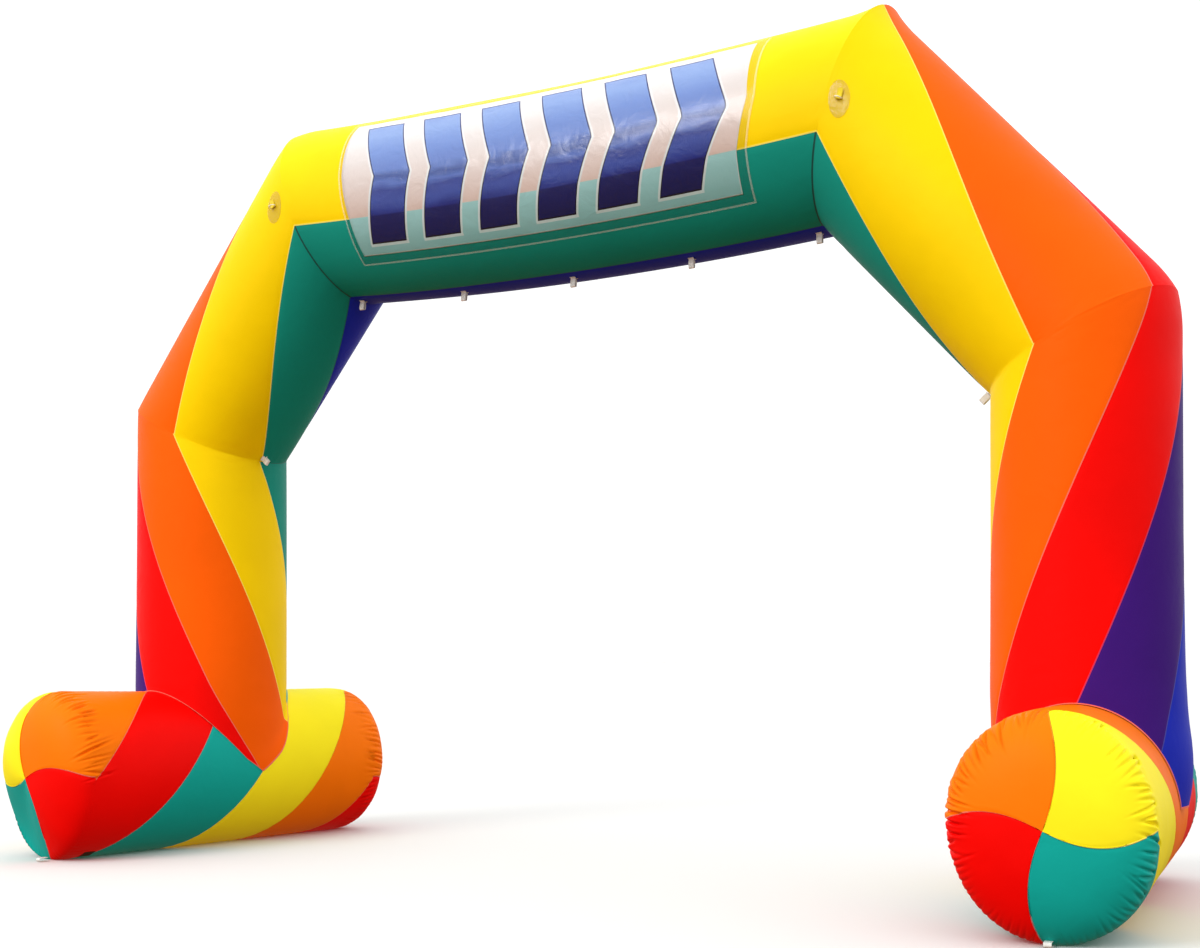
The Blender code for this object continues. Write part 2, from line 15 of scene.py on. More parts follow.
import bmesh
import bpy
import numpy as np
from bpy.types import ID, ColorRamp, Material, Mesh, Modifier, Node, NodeSocket, Object, World
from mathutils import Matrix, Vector

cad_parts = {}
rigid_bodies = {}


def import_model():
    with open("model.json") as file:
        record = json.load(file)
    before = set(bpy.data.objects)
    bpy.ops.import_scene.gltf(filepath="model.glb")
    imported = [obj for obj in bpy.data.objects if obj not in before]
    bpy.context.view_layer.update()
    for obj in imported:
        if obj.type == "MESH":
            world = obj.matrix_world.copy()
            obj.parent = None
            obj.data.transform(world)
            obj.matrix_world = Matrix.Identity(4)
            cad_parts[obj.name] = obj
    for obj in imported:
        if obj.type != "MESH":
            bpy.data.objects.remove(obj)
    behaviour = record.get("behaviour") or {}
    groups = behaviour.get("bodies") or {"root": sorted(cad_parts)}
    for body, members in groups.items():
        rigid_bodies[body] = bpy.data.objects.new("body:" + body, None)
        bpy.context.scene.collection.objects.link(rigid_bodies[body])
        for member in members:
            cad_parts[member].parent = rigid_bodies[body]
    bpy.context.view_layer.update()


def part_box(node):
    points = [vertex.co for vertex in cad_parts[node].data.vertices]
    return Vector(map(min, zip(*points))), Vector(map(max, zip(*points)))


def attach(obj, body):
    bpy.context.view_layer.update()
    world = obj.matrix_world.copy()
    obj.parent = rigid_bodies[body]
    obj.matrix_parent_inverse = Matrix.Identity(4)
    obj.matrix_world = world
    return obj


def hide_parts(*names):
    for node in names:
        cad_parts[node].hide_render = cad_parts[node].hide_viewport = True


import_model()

Array = np.ndarray
LOG = logging.getLogger("arch")
BODY = "root"

# ---- sizes shared with the part ----
TALL = 1.191  # height of a tube over its depth
TUBE_R = 0.400  # legs
KNEE_R = 0.406  # seams between legs and diagonals
SHOULDER_R = 0.419  # seams between diagonals and beam
BEAM_R = 0.417  # middle of the beam
ARCH_Y = 0.050  # the legs stand this far behind the middle of the base tubes
FOOT_X = 2.512  # axis of a leg at the ground
SAG = 0.036  # of the beam's middle, as drawn
CORNER_REACH = 0.15  # length of tube over which the air rounds off a mitre's outer point
CORNER_FALL = 1.5  # above 1, the rounding keeps closer to that point
BASE_X = 2.530  # middle of a base tube
BASE_DEPTH_R = 0.3856  # half its width
BASE_DRAWN_R = 0.3584  # half its height, as drawn
BASE_HALF = 0.9156  # half its length, between the seams of its caps
BASE_TOE = math.radians(7.33)  # its front end points outwards by this angle
BASE_PRESS = 0.008  # flattening where it lies on the ground
CAP_BULGE = 0.180  # of an end cap, in front of its seam
CAP_FULLNESS = 0.75  # below 1, a dome stays wide further from its seam
RIM_SIZE = 0.988  # of a base tube at the seam of its cap, against its middle
TURN = 2 * math.pi
UP = np.array((0.0, 0.0, 1.0))


class Side(Enum):
    """The two halves of the arch, with the sign of their X."""

    LEFT = -1.0
    RIGHT = 1.0

    @property
    def word(self) -> str:
        """The side's word in node names."""
        return self.name.lower()


@dataclass(frozen=True)
class Corner:
    """Where two tubes meet: place and height of the axis, as drawn, and the rounding there."""

    x: float
    height: float
    rounding: float


KNEES = {Side.LEFT: Corner(-2.582, 1.941, 0.004), Side.RIGHT: Corner(2.539, 1.999, 0.018)}
SHOULDERS = {Side.LEFT: Corner(-1.671, 2.912, 0.016), Side.RIGHT: Corner(1.496, 2.950, -0.018)}

FOOT_HEIGHTS = (0.0, 0.10, 0.22, 0.38, 0.62, 0.95)  # above the base's axis, as drawn
FOOT_WIDTHS = (0.958, 0.975, 1.0, 1.015, 1.008, 1.0)


# ---- colours and cloth ----
class Cloth(Enum):
    """Colours of the coated cloth, as sRGB hex."""

    YELLOW = "#FFD900"
    ORANGE = "#FE6200"
    RED = "#F80400"
    PURPLE = "#3C167A"
    BLUE = "#1B2BB4"
    TEAL = "#14907E"
    LEMON = "#FFF01E"  # the base tubes are drawn in lighter colours than the arch
    TANGERINE = "#FE7A04"
    SEA = "#10A89C"


class Welt(Enum):
    """Colours of the welded seams between two panels, as sRGB hex."""

    PALE_YELLOW = "#FFE860"
    AMBER = "#E09A00"
    PINK = "#F4705C"
    ROSE = "#C8305C"
    GREY = "#A88C88"
    INDIGO = "#3A3CA0"
    DEEP_TEAL = "#0A5C66"
    DARK_TEAL = "#0B4A42"


def linear(colour: str) -> tuple[float, float, float, float]:
    """Convert an sRGB hex colour to linear values.

    Args:
        colour: The colour as "#RRGGBB".

    Returns:
        Linear red, green and blue, and an alpha of 1.
    """
    parts = [int(colour[k:k + 2], 16) / 255 for k in (1, 3, 5)]
    values = [p / 12.92 if p <= 0.04045 else ((p + 0.055) / 1.055) ** 2.4 for p in parts]
    return values[0], values[1], values[2], 1.0


class Nodes:
    """The node tree of a material or a world, filled one node at a time."""

    def __init__(self, owner: Material | World, shader: str = "Principled BSDF") -> None:
        """Start from the owner's new tree.

        Args:
            owner: The material or world.
            shader: Name of the shader that its tree starts with.
        """
        owner.use_nodes = True
        self.owner = owner
        self.tree = owner.node_tree
        self.shader = self.tree.nodes[shader]

    def add(self, kind: str, inputs: dict | None = None, **settings: str) -> Node:
        """Add a node.

        Args:
            kind: The node's type, such as "ShaderNodeTexNoise".
            inputs: Values or output sockets by the name or number of the input.
            settings: The node's own properties.

        Returns:
            The new node.
        """
        node = self.tree.nodes.new(kind)
        for key, value in settings.items():
            setattr(node, key, value)
        self.link(node, inputs or {})
        return node

    def link(self, node: Node, inputs: dict) -> None:
        """Set or link inputs of a node.

        Args:
            node: The node.
            inputs: Values or output sockets by the name or number of the input.
        """
        for key, value in inputs.items():
            if isinstance(value, NodeSocket):
                self.tree.links.new(value, node.inputs[key])
            else:
                node.inputs[key].default_value = value

    def mottled(self, colour: str, noise: Node, shades: tuple[float, float],
                reach: tuple[float, float] = (0.0, 1.0)) -> NodeSocket:
        """Vary the brightness of a colour with a noise.

        Args:
            colour: The colour as "#RRGGBB".
            noise: The noise.
            shades: Brightness at the low and the high end of the noise.
            reach: Values of the noise at those ends.

        Returns:
            Socket of the varied colour.
        """
        shade = self.add("ShaderNodeMapRange", {
            "Value": noise.outputs["Fac"], "From Min": reach[0], "From Max": reach[1],
            "To Min": shades[0], "To Max": shades[1]})
        tint = self.add("ShaderNodeHueSaturation", {
            "Color": linear(colour), "Value": shade.outputs["Result"]})
        return tint.outputs["Color"]


def set_stops(band: ColorRamp, stops: Sequence[tuple[float, Sequence[float]]]) -> None:
    """Give a new colour ramp its stops.

    Args:
        band: The ramp.
        stops: Places from 0 to 1 and linear colours with their alpha.
    """
    while len(band.elements) < len(stops):
        band.elements.new(0.5)
    for element, (place, colour) in zip(band.elements, stops):
        element.position = place
        element.color = colour


WAVE_RATE = 20.0  # radians to a metre in Blender's wave texture at a scale of 1


@dataclass(frozen=True)
class Finish:
    """A material, named for what the real one is and how it was made; sizes are in metres."""

    name: str

    def build(self) -> Material:
        """Build the material, which each finish does in its own way."""
        raise NotImplementedError(self.name)


@dataclass(frozen=True)
class CoatedCloth(Finish):
    """Airtight polyester cloth with a soft polyurethane coat.

    The coat gives a broad satin sheen. The base cloth shows as a very fine weave, and handling
    leaves faint long crumples, lower than a millimetre, that only the reflections show.
    """

    colour: str
    roughness: float = 0.48
    shine: float = 0.06  # the coat is dull: it mirrors little of the sky
    weave: float = 0.0032  # thread pitch; the real 0.5 mm would be too fine to draw
    crumple: float = 0.11  # size of the faint crumples
    cloud: float = 1 / 1.7  # size of the soft patches in its tone

    def build(self) -> Material:
        """Build the material.

        Returns:
            The new material.
        """
        nodes = Nodes(bpy.data.materials.new(self.name))
        place = nodes.add("ShaderNodeTexCoord").outputs
        tone = nodes.add("ShaderNodeTexNoise", {
            "Vector": place["Object"], "Detail": 3.0, "Scale": 1 / self.cloud, "Roughness": 0.5})
        crumple = nodes.add("ShaderNodeTexNoise", {
            "Vector": place["Object"], "Scale": 1 / self.crumple, "Detail": 4.0,
            "Roughness": 0.55, "Distortion": 0.6})
        soft = nodes.add("ShaderNodeBump", {
            "Height": crumple.outputs["Fac"], "Strength": 0.22, "Distance": 0.010})
        threads = [nodes.add("ShaderNodeTexWave", {
            "Vector": place["UV"], "Scale": TURN / self.weave / WAVE_RATE, "Distortion": 0.4},
            wave_type="BANDS", bands_direction=direction, wave_profile="SIN").outputs["Fac"]
            for direction in ("X", "Y")]
        cross = nodes.add("ShaderNodeMath", dict(enumerate(threads)), operation="MULTIPLY")
        fine = nodes.add("ShaderNodeBump", {
            "Height": cross.outputs["Value"], "Strength": 0.10,
            "Distance": 0.0004, "Normal": soft.outputs["Normal"]})
        rough = nodes.add("ShaderNodeMapRange", {
            "Value": crumple.outputs["Fac"], "To Min": self.roughness - 0.05,
            "To Max": self.roughness + 0.06})
        nodes.link(nodes.shader, {
            "Base Color": nodes.mottled(self.colour, tone, (0.94, 1.04), (0.3, 0.7)),
            "Roughness": rough.outputs["Result"], "Normal": fine.outputs["Normal"],
            "IOR": 1.46, "Specular IOR Level": self.shine})
        return nodes.owner


@dataclass(frozen=True)
class WeldedSeam(Finish):
    """The narrow overlap where two panels are welded: the cloth's paler cut edge, smooth."""

    colour: str
    grain: float = 1 / 140  # size of the print that the welding bar leaves

    def build(self) -> Material:
        """Build the material.

        Returns:
            The new material.
        """
        nodes = Nodes(bpy.data.materials.new(self.name))
        place = nodes.add("ShaderNodeTexCoord").outputs
        grain = nodes.add("ShaderNodeTexNoise", {
            "Vector": place["Object"], "Scale": 1 / self.grain, "Detail": 2.0})
        bump = nodes.add("ShaderNodeBump", {
            "Height": grain.outputs["Fac"], "Strength": 0.2, "Distance": 0.0005})
        nodes.link(nodes.shader, {
            "Base Color": nodes.mottled(self.colour, grain, (0.86, 1.06)), "Roughness": 0.4,
            "Normal": bump.outputs["Normal"], "Specular IOR Level": 0.25})
        return nodes.owner


@dataclass(frozen=True)
class Webbing(Finish):
    """Woven polyester tape: matte, with ribs across it that catch the light in fine lines."""

    colour: str
    pitch: float = 0.0022  # of the ribs
    stain: float = 1 / 60  # size of the faint stains

    def build(self) -> Material:
        """Build the material.

        Returns:
            The new material.
        """
        nodes = Nodes(bpy.data.materials.new(self.name))
        place = nodes.add("ShaderNodeTexCoord").outputs
        ribs = nodes.add("ShaderNodeTexWave", {
            "Vector": place["UV"], "Scale": TURN / self.pitch / WAVE_RATE, "Distortion": 1.2,
            "Detail": 2.0}, wave_type="BANDS", bands_direction="Y", wave_profile="SIN")
        dirt = nodes.add("ShaderNodeTexNoise", {
            "Vector": place["Object"], "Scale": 1 / self.stain, "Detail": 4.0})
        bump = nodes.add("ShaderNodeBump", {
            "Height": ribs.outputs["Fac"], "Strength": 0.6, "Distance": 0.0006})
        nodes.link(nodes.shader, {
            "Base Color": nodes.mottled(self.colour, dirt, (0.82, 1.05)), "Roughness": 0.78,
            "Normal": bump.outputs["Normal"], "Sheen Weight": 0.25})
        return nodes.owner


@dataclass(frozen=True)
class PrintedVinyl(Finish):
    """Thin white sheet vinyl, seen under a clear cover: its colour runs down the sheet.

    The upper part is washed out by painted reflection of the sky in the clear cover, lighter
    towards the top in wavy bands, and below the arch's colour line the teal cloth behind it
    shows through. UV's second value runs from the sheet's top, 1, to its bottom, 0.
    """

    stops: tuple[tuple[float, str], ...]
    roughness: float = 0.22
    cloud: float = 1 / 2.2  # size of the patches by which the painted reflection's bands drift up and down
    drift: float = 0.07  # how far it drifts, as a share of the sheet's height
    crumple: float = 1 / 9  # size of its crumples

    def build(self) -> Material:
        """Build the material.

        Returns:
            The new material.
        """
        nodes = Nodes(bpy.data.materials.new(self.name))
        place = nodes.add("ShaderNodeTexCoord").outputs
        split = nodes.add("ShaderNodeSeparateXYZ", {"Vector": place["UV"]})
        long = nodes.add("ShaderNodeMapping", {
            "Vector": place["Object"], "Scale": (1.4, 3.0, 6.0)})
        cloud = nodes.add("ShaderNodeTexNoise", {
            "Vector": long.outputs["Vector"], "Scale": 1 / self.cloud, "Detail": 4.0,
            "Distortion": 0.5})
        drift = nodes.add("ShaderNodeMapRange", {
            "Value": cloud.outputs["Fac"], "To Min": -self.drift, "To Max": self.drift})
        height = nodes.add("ShaderNodeMath", {
            0: split.outputs["Y"], 1: drift.outputs["Result"]}, operation="ADD")
        ramp = nodes.add("ShaderNodeValToRGB", {"Fac": height.outputs["Value"]})
        set_stops(ramp.color_ramp, [(share, linear(colour)) for share, colour in self.stops])
        crumple = nodes.add("ShaderNodeTexNoise", {
            "Vector": place["Object"], "Scale": 1 / self.crumple, "Detail": 5.0,
            "Distortion": 1.4})
        bump = nodes.add("ShaderNodeBump", {
            "Height": crumple.outputs["Fac"], "Strength": 0.4, "Distance": 0.010})
        nodes.link(nodes.shader, {
            "Base Color": ramp.outputs["Color"], "Roughness": self.roughness,
            "Normal": bump.outputs["Normal"]})
        return nodes.owner


@dataclass(frozen=True)
class ClearVinyl(Finish):
    """Soft clear vinyl film: nearly invisible face on, with sharp glints along its creases."""

    colour: str
    alpha: float
    roughness: float = 0.10
    crease: float = 0.05  # size of the creases

    def build(self) -> Material:
        """Build the material.

        Returns:
            The new material.
        """
        nodes = Nodes(bpy.data.materials.new(self.name))
        place = nodes.add("ShaderNodeTexCoord").outputs
        crease = nodes.add("ShaderNodeTexNoise", {
            "Vector": place["Object"], "Scale": 1 / self.crease, "Detail": 4.0,
            "Distortion": 1.8})
        bump = nodes.add("ShaderNodeBump", {
            "Height": crease.outputs["Fac"], "Strength": 0.45, "Distance": 0.006})
        nodes.link(nodes.shader, {
            "Base Color": linear(self.colour), "Roughness": self.roughness,
            "Normal": bump.outputs["Normal"], "Alpha": self.alpha, "IOR": 1.5,
            "Coat Weight": 1.0, "Coat Roughness": 0.05})
        return nodes.owner


@dataclass(frozen=True)
class MouldedPlastic(Finish):
    """Injection-moulded white nylon: smooth satin with a very slight orange peel."""

    colour: str
    peel: float = 1 / 700  # size of the orange peel's bumps

    def build(self) -> Material:
        """Build the material.

        Returns:
            The new material.
        """
        nodes = Nodes(bpy.data.materials.new(self.name))
        place = nodes.add("ShaderNodeTexCoord").outputs
        peel = nodes.add("ShaderNodeTexNoise", {
            "Vector": place["Object"], "Scale": 1 / self.peel, "Detail": 2.0})
        bump = nodes.add("ShaderNodeBump", {
            "Height": peel.outputs["Fac"], "Strength": 0.1, "Distance": 0.0002})
        nodes.link(nodes.shader, {
            "Base Color": linear(self.colour), "Roughness": 0.32,
            "Normal": bump.outputs["Normal"]})
        return nodes.owner


@dataclass(frozen=True)
class SeamlessPaper(Finish):
    """Seamless studio paper, calendered but uncoated: pale and matte, with no shine."""

    colour: str

    def build(self) -> Material:
        """Build the material.

        Returns:
            The new material.
        """
        nodes = Nodes(bpy.data.materials.new(self.name))
        nodes.link(nodes.shader, {"Base Color": linear(self.colour), "Roughness": 0.9})
        return nodes.owner


WHITE_WEBBING = Webbing("woven_webbing_white", "#EDECE6")
YELLOW_WEBBING = Webbing("woven_webbing_yellow", "#F2D800")
# painted shade: a dark umber sheet stands in for the shadow where each base tube meets the ground
GROUND_SHADE_SHEET = CoatedCloth("painted_ground_shade_umber", "#3A2A14", 0.6)
COVER_FILM = ClearVinyl("clear_vinyl_film", "#2A2C2A", 0.07)
COVER_HEM = ClearVinyl("clear_vinyl_welded_hem", "#FBFAEE", 0.16, 0.3)
PATCH_FILM = ClearVinyl("clear_vinyl_patch", "#B0A020", 0.16, 0.16, 0.012)
RING_NYLON = MouldedPlastic("moulded_nylon_white", "#F4F4F0")
FLOOR_PAPER = SeamlessPaper("seamless_paper_white", "#DEDEDC")


class Finishes:
    """Every material of the scene, built once and found by name."""

    def __init__(self) -> None:
        """Start with none."""
        self.built: dict[str, Material] = {}

    def get(self, finish: Finish) -> Material:
        """Find or build a finish's material.

        Args:
            finish: The finish.

        Returns:
            Its material.
        """
        if finish.name not in self.built:
            self.built[finish.name] = finish.build()
        return self.built[finish.name]

    def cloth(self, cloth: Cloth) -> Material:
        """The material of a colour of cloth."""
        return self.get(CoatedCloth("coated_polyester_" + cloth.name.lower(), cloth.value))

    def welt(self, welt: Welt) -> Material:
        """The material of a colour of seam."""
        return self.get(WeldedSeam("welded_seam_" + welt.name.lower(), welt.value))

    def panels(self, panels: Sequence[tuple[Cloth, Welt]]) -> list[Material]:
        """The cloths of a tube's panels, followed by the welts on their first edges."""
        return [self.cloth(cloth) for cloth, _ in panels] + [self.welt(welt) for _, welt in panels]


# ---- meshes from grids ----
def unit(vectors: Array) -> Array:
    """The vectors along the last axis, scaled to length 1."""
    return vectors / np.maximum(np.linalg.norm(vectors, axis=-1, keepdims=True), 1e-12)


def clustered(count: int, ends: float) -> Array:
    """Rising places from 0 to 1, closer near both ends by a factor, with count steps."""
    t = np.linspace(0, 1, count + 1)
    return ends * t + (1 - ends) * (t - np.sin(TURN * t) / TURN)


class Ripples:
    """Smooth irregular waves, the same on each run."""

    def __init__(self, seed: int, length: float, aspect: float = 1.0, count: int = 7) -> None:
        """Draw the waves.

        Args:
            seed: Seed of the draw.
            length: Typical wavelength along the first coordinate.
            aspect: How much longer the waves are along the second one.
            count: How many waves are summed.
        """
        draw = np.random.default_rng(seed)
        self.first = TURN / length * draw.uniform(0.6, 1.5, count) * draw.choice((-1, 1), count)
        self.second = TURN / (length * aspect) * draw.uniform(-1.0, 1.0, count)
        self.phase = draw.uniform(0, TURN, count)

    def at(self, first: Array, second: Array) -> Array:
        """Height of the waves.

        Args:
            first: Coordinate across the waves.
            second: Coordinate along them.

        Returns:
            Values that mostly lie between -1 and 1.
        """
        total = np.zeros(np.broadcast(first, second).shape)
        for a, b, c in zip(self.first, self.second, self.phase):
            total = total + np.sin(a * first + b * second + c)
        return total / math.sqrt(2 * len(self.phase))


def folded(waves: Array, sharp: float = 1.4) -> Array:
    """Waves turned into gathers: -1 in narrow creases and 0 on the round crests between them."""
    return -np.exp(-sharp * 3 * np.abs(waves))


BILLOW_LENGTH = 0.5  # slow waves that the air leaves in the cloth of a tube
BILLOW_ASPECT = 2.5
BILLOW_HIGH = 0.0014


def billows(seed: int, around: Array, along: Array, fade: Array) -> Array:
    """Heights of a tube's slow waves, which die out towards its seams as fade nears 0."""
    slow = Ripples(seed, BILLOW_LENGTH, BILLOW_ASPECT).at(around, along)
    return BILLOW_HIGH * slow * (1 - np.exp(-fade))


@dataclass
class Grid:
    """A surface of rows and columns of points, with a slot for each face."""

    points: Array  # rows, columns, 3
    uv: Array  # rows, columns (+ 1 if closed), 2
    slots: Array  # one per column of faces, or rows by columns
    closed: bool = False

    def build(self, name: str, materials: Sequence[Material]) -> Object:
        """Make the mesh object.

        Args:
            name: The object's name.
            materials: Its material slots.

        Returns:
            The new object.
        """
        rows, columns = self.points.shape[:2]
        across = columns if self.closed else columns - 1
        row, col = np.meshgrid(np.arange(rows - 1), np.arange(across), indexing="ij")
        after = (col + 1) % columns
        faces = np.stack((row * columns + col, row * columns + after,
                          (row + 1) * columns + after, (row + 1) * columns + col), axis=-1)
        mesh = bpy.data.meshes.new(name)
        mesh.from_pydata(self.points.reshape(-1, 3).tolist(), [], faces.reshape(-1, 4).tolist())
        corners = np.stack((self.uv[row, col], self.uv[row, col + 1], self.uv[row + 1, col + 1],
                            self.uv[row + 1, col]), axis=2)
        layer = mesh.uv_layers.new(name="UVMap")
        layer.data.foreach_set("uv", corners.astype(np.float32).ravel())
        slots = np.broadcast_to(self.slots, (rows - 1, across)).astype(np.int32)
        mesh.polygons.foreach_set("material_index", slots.ravel())
        for material in materials:
            mesh.materials.append(material)
        corner = self.points.reshape(-1, 3)[faces.reshape(-1, 4)] - self.points.mean(axis=(0, 1))
        area = np.cross(corner[:, 2] - corner[:, 0], corner[:, 3] - corner[:, 1])
        if self.closed and np.sum(corner.mean(axis=1) * area) < 0:
            mesh.flip_normals()  # a tube of the mirrored side would face inwards
        mesh.shade_smooth()
        mesh.update()
        return place_object(name, mesh)


def place_object(name: str, data: ID) -> Object:
    """Link new data into the scene.

    Args:
        name: The object's name.
        data: Its mesh, curve, lamp or camera.

    Returns:
        The new object.
    """
    item = bpy.data.objects.new(name, data)
    bpy.context.scene.collection.objects.link(item)
    return item


def normals_of(points: Array) -> Array:
    """Unit normals of a tube's grid, whose columns run all the way round."""
    around = np.roll(points, -1, axis=1) - np.roll(points, 1, axis=1)
    return unit(np.cross(around, np.gradient(points, axis=0)))


def outwards(points: Array) -> Array:
    """Normals of a tube's grid, turned away from the middle of each row.

    Args:
        points: Rows, columns that run all the way round, and 3 values.

    Returns:
        Unit vectors, one per point.
    """
    normals = normals_of(points)
    middle = points.mean(axis=1)
    away = np.sum(normals * (points - middle[:, None, :]), axis=-1).mean()
    return normals if away > 0 else -normals


def keep(piece: Object, slot: str, *nodes: str) -> None:
    """Let a piece ride on the arch, and hide the nodes that it stands for.

    Args:
        piece: The new piece.
        slot: The record's material slot; not used.
        nodes: The CAD nodes that it replaces.
    """
    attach(piece, BODY)
    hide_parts(*nodes)
    LOG.info("%s: %d faces", piece.name, len(piece.data.polygons))


# ---- shape of the arch ----
@dataclass(frozen=True)
class Seam:
    """A mitre seam: an ellipse in the plane that halves the angle between two tubes."""

    centre: Array
    inward: Array
    radius: float
    reach: float
    rounding: float

    def points(self, angle: Array) -> Array:
        """Points of the seam, as drawn.

        Args:
            angle: Angles round the tube.

        Returns:
            Points along the last axis.
        """
        side = np.sin(angle)[..., None] * (self.inward * self.reach)
        front = np.cos(angle)[..., None] * np.array((0.0, self.radius, 0.0))
        return self.centre + side - front


def drawn(corner: Corner) -> Array:
    """The point of a corner, as drawn."""
    return np.array((corner.x, ARCH_Y, corner.height))


def mitre(corner: Corner, before: Array, after: Array, radius: float) -> Seam:
    """The seam at a corner between its neighbouring corners.

    Args:
        corner: The corner.
        before: The corner before it.
        after: The corner after it.
        radius: Radius of the tubes there.

    Returns:
        The seam.
    """
    centre = drawn(corner)
    one, other = unit(before - centre), unit(after - centre)
    half = math.acos(float(one @ other)) / 2
    return Seam(centre, unit(one + other), radius, radius / math.sin(half), corner.rounding)


@dataclass(frozen=True)
class Span:
    """A tube between two seams, straight as drawn and then sagged and softened.

    Angles rise from the front towards the passage.
    """

    start: Callable[[Array], Array]
    end: Callable[[Array], Array]
    start_rounding: Array
    end_rounding: Array
    sag: float = 0.0
    slack: float = 0.0
    footed: bool = False

    def at(self, place: Array, angle: Array) -> Array:
        """Points of the surface.

        Args:
            place: Places along the tube, from 0 to 1.
            angle: Angles round the tube.

        Returns:
            Points along the last axis, in the arch.
        """
        first, last = self.start(angle), self.end(angle)
        length = np.linalg.norm(last - first, axis=-1)
        point = first + (last - first) * place[..., None]
        outer = np.maximum(0.0, -np.sin(angle)) ** CORNER_FALL
        for rounding, distance in ((self.start_rounding, place), (self.end_rounding, 1 - place)):
            fade = np.maximum(0.0, 1 - distance * length / CORNER_REACH)
            point = point + rounding * (outer * fade * fade)[..., None]
        middle = 4 * place * (1 - place)
        point[..., 2] -= self.sag * middle
        point[..., 1] += self.slack * middle * np.cos(angle)
        if self.footed:
            width = np.interp(point[..., 2] - BASE_DRAWN_R, FOOT_HEIGHTS, FOOT_WIDTHS)
            axis = self.start(np.zeros(1))[0, 0]
            axis = axis + (self.end(np.zeros(1))[0, 0] - axis) * place
            point[..., 0] = axis + (point[..., 0] - axis) * width
        return point * np.array((1.0, 1.0, TALL))

    def lengths(self, angle: Array) -> Array:
        """Lengths of the tube's straight lines at angles from the front towards the passage."""
        stretch = np.array((1.0, 1.0, TALL))
        return np.linalg.norm((self.end(angle) - self.start(angle)) * stretch, axis=-1)


class Skeleton:
    """The arch's seams and tubes, shared by everything that is set on them."""

    def __init__(self) -> None:
        """Work out the seams, and then the tubes between them."""
        feet = {side: np.array((side.value * FOOT_X, ARCH_Y, 0.0)) for side in Side}
        knees = {side: drawn(KNEES[side]) for side in Side}
        tops = {side: drawn(SHOULDERS[side]) for side in Side}
        other = {Side.LEFT: Side.RIGHT, Side.RIGHT: Side.LEFT}
        self.knees = {side: mitre(KNEES[side], feet[side], tops[side], KNEE_R) for side in Side}
        self.shoulders = {side: mitre(SHOULDERS[side], knees[side], tops[other[side]], SHOULDER_R)
                          for side in Side}
        left, right = self.shoulders[Side.LEFT], self.shoulders[Side.RIGHT]
        self.beam = Span(left.points, right.points, left.inward * left.rounding,
                         right.inward * right.rounding, SAG, SHOULDER_R - BEAM_R)
        self.diagonals = {side: self.diagonal(side) for side in Side}
        self.legs = {side: self.leg(side) for side in Side}

    def diagonal(self, side: Side) -> Span:
        """The diagonal of one side, from its knee up to its shoulder."""
        knee, top = self.knees[side], self.shoulders[side]
        return Span(knee.points, top.points, knee.inward * knee.rounding,
                    top.inward * top.rounding)

    def leg(self, side: Side) -> Span:
        """A leg, from the ground up to its knee.

        Args:
            side: Which half of the arch.

        Returns:
            The tube.
        """
        knee = self.knees[side]

        def foot(angle: Array) -> Array:
            """The leg's round start on the ground."""
            return np.stack((side.value * (FOOT_X - TUBE_R * np.sin(angle)),
                             ARCH_Y - TUBE_R * np.cos(angle), np.zeros_like(angle)), axis=-1)

        return Span(foot, knee.points, np.zeros(3), knee.inward * knee.rounding, footed=True)


@dataclass(frozen=True)
class Base:
    """A base tube's own frame: ahead towards its front, angles from its outer side over the top."""

    side: Side

    @property
    def forward(self) -> Array:
        """Along the tube, towards its front end."""
        return np.array((self.side.value * math.sin(BASE_TOE), -math.cos(BASE_TOE), 0.0))

    @property
    def outward(self) -> Array:
        """Across the tube, away from the passage."""
        return np.array((self.side.value * math.cos(BASE_TOE), math.sin(BASE_TOE), 0.0))

    @property
    def axis(self) -> Array:
        """The middle of the tube."""
        return np.array((self.side.value * BASE_X, 0.0, BASE_DRAWN_R * TALL - BASE_PRESS))

    def at(self, ahead: Array, angle: Array, size: Array, grow: Array | float = 0.0) -> Array:
        """Points of the surface.

        Args:
            ahead: Distance in front of the tube's middle.
            angle: Angles from the outer side over the top.
            size: Size of the ring against the tube's.
            grow: How far outside that ring.

        Returns:
            Points along the last axis.
        """
        across = (BASE_DEPTH_R * size + grow) * np.cos(angle)
        rise = (BASE_DRAWN_R * TALL * size + grow) * np.sin(angle)
        point = (self.axis + self.forward * ahead[..., None] + self.outward * across[..., None]
                 + UP * rise[..., None])
        point[..., 2] = np.maximum(point[..., 2], 0.0)
        return point

    def depth_inside(self, points: Array) -> Array:
        """How far points lie inside the tube, as a share of its radius.

        Args:
            points: Points along the last axis.

        Returns:
            1 on the axis, 0 on the surface, negative outside.
        """
        offset = points - self.axis
        across = offset @ self.outward / BASE_DEPTH_R
        rise = offset[..., 2] / (BASE_DRAWN_R * TALL)
        return 1 - np.hypot(across, rise)

    def pushed_out(self, points: Array, lift: float, soft: Array) -> Array:
        """Move points that lie in the tube out to a height above its surface.

        Args:
            points: Points along the last axis.
            lift: The height.
            soft: How gently they leave the surface, as a share of the tube's radius.

        Returns:
            The points, moved where they lay lower or just above it.
        """
        size = np.maximum(1 - self.depth_inside(points), 1e-6)
        least = 1 + lift / BASE_DEPTH_R
        soft = np.maximum(soft, 1e-4)
        over = np.clip((size - least) / soft, -30.0, 30.0)
        wanted = np.where(over < 30.0, least + soft * np.log1p(np.exp(over)), size)
        more = wanted / size - 1
        offset = points - self.axis
        offset = self.outward * (offset @ self.outward)[..., None] + UP * offset[..., 2:]
        return points + offset * more[..., None]

    def ring_out(self, angle: Array) -> Array:
        """Directions straight out of the tube's ring.

        Args:
            angle: Angles from the outer side over the top.

        Returns:
            Unit vectors along the last axis.
        """
        across = np.cos(angle) / BASE_DEPTH_R
        rise = np.sin(angle) / (BASE_DRAWN_R * TALL)
        return unit(self.outward * across[..., None] + UP * rise[..., None])


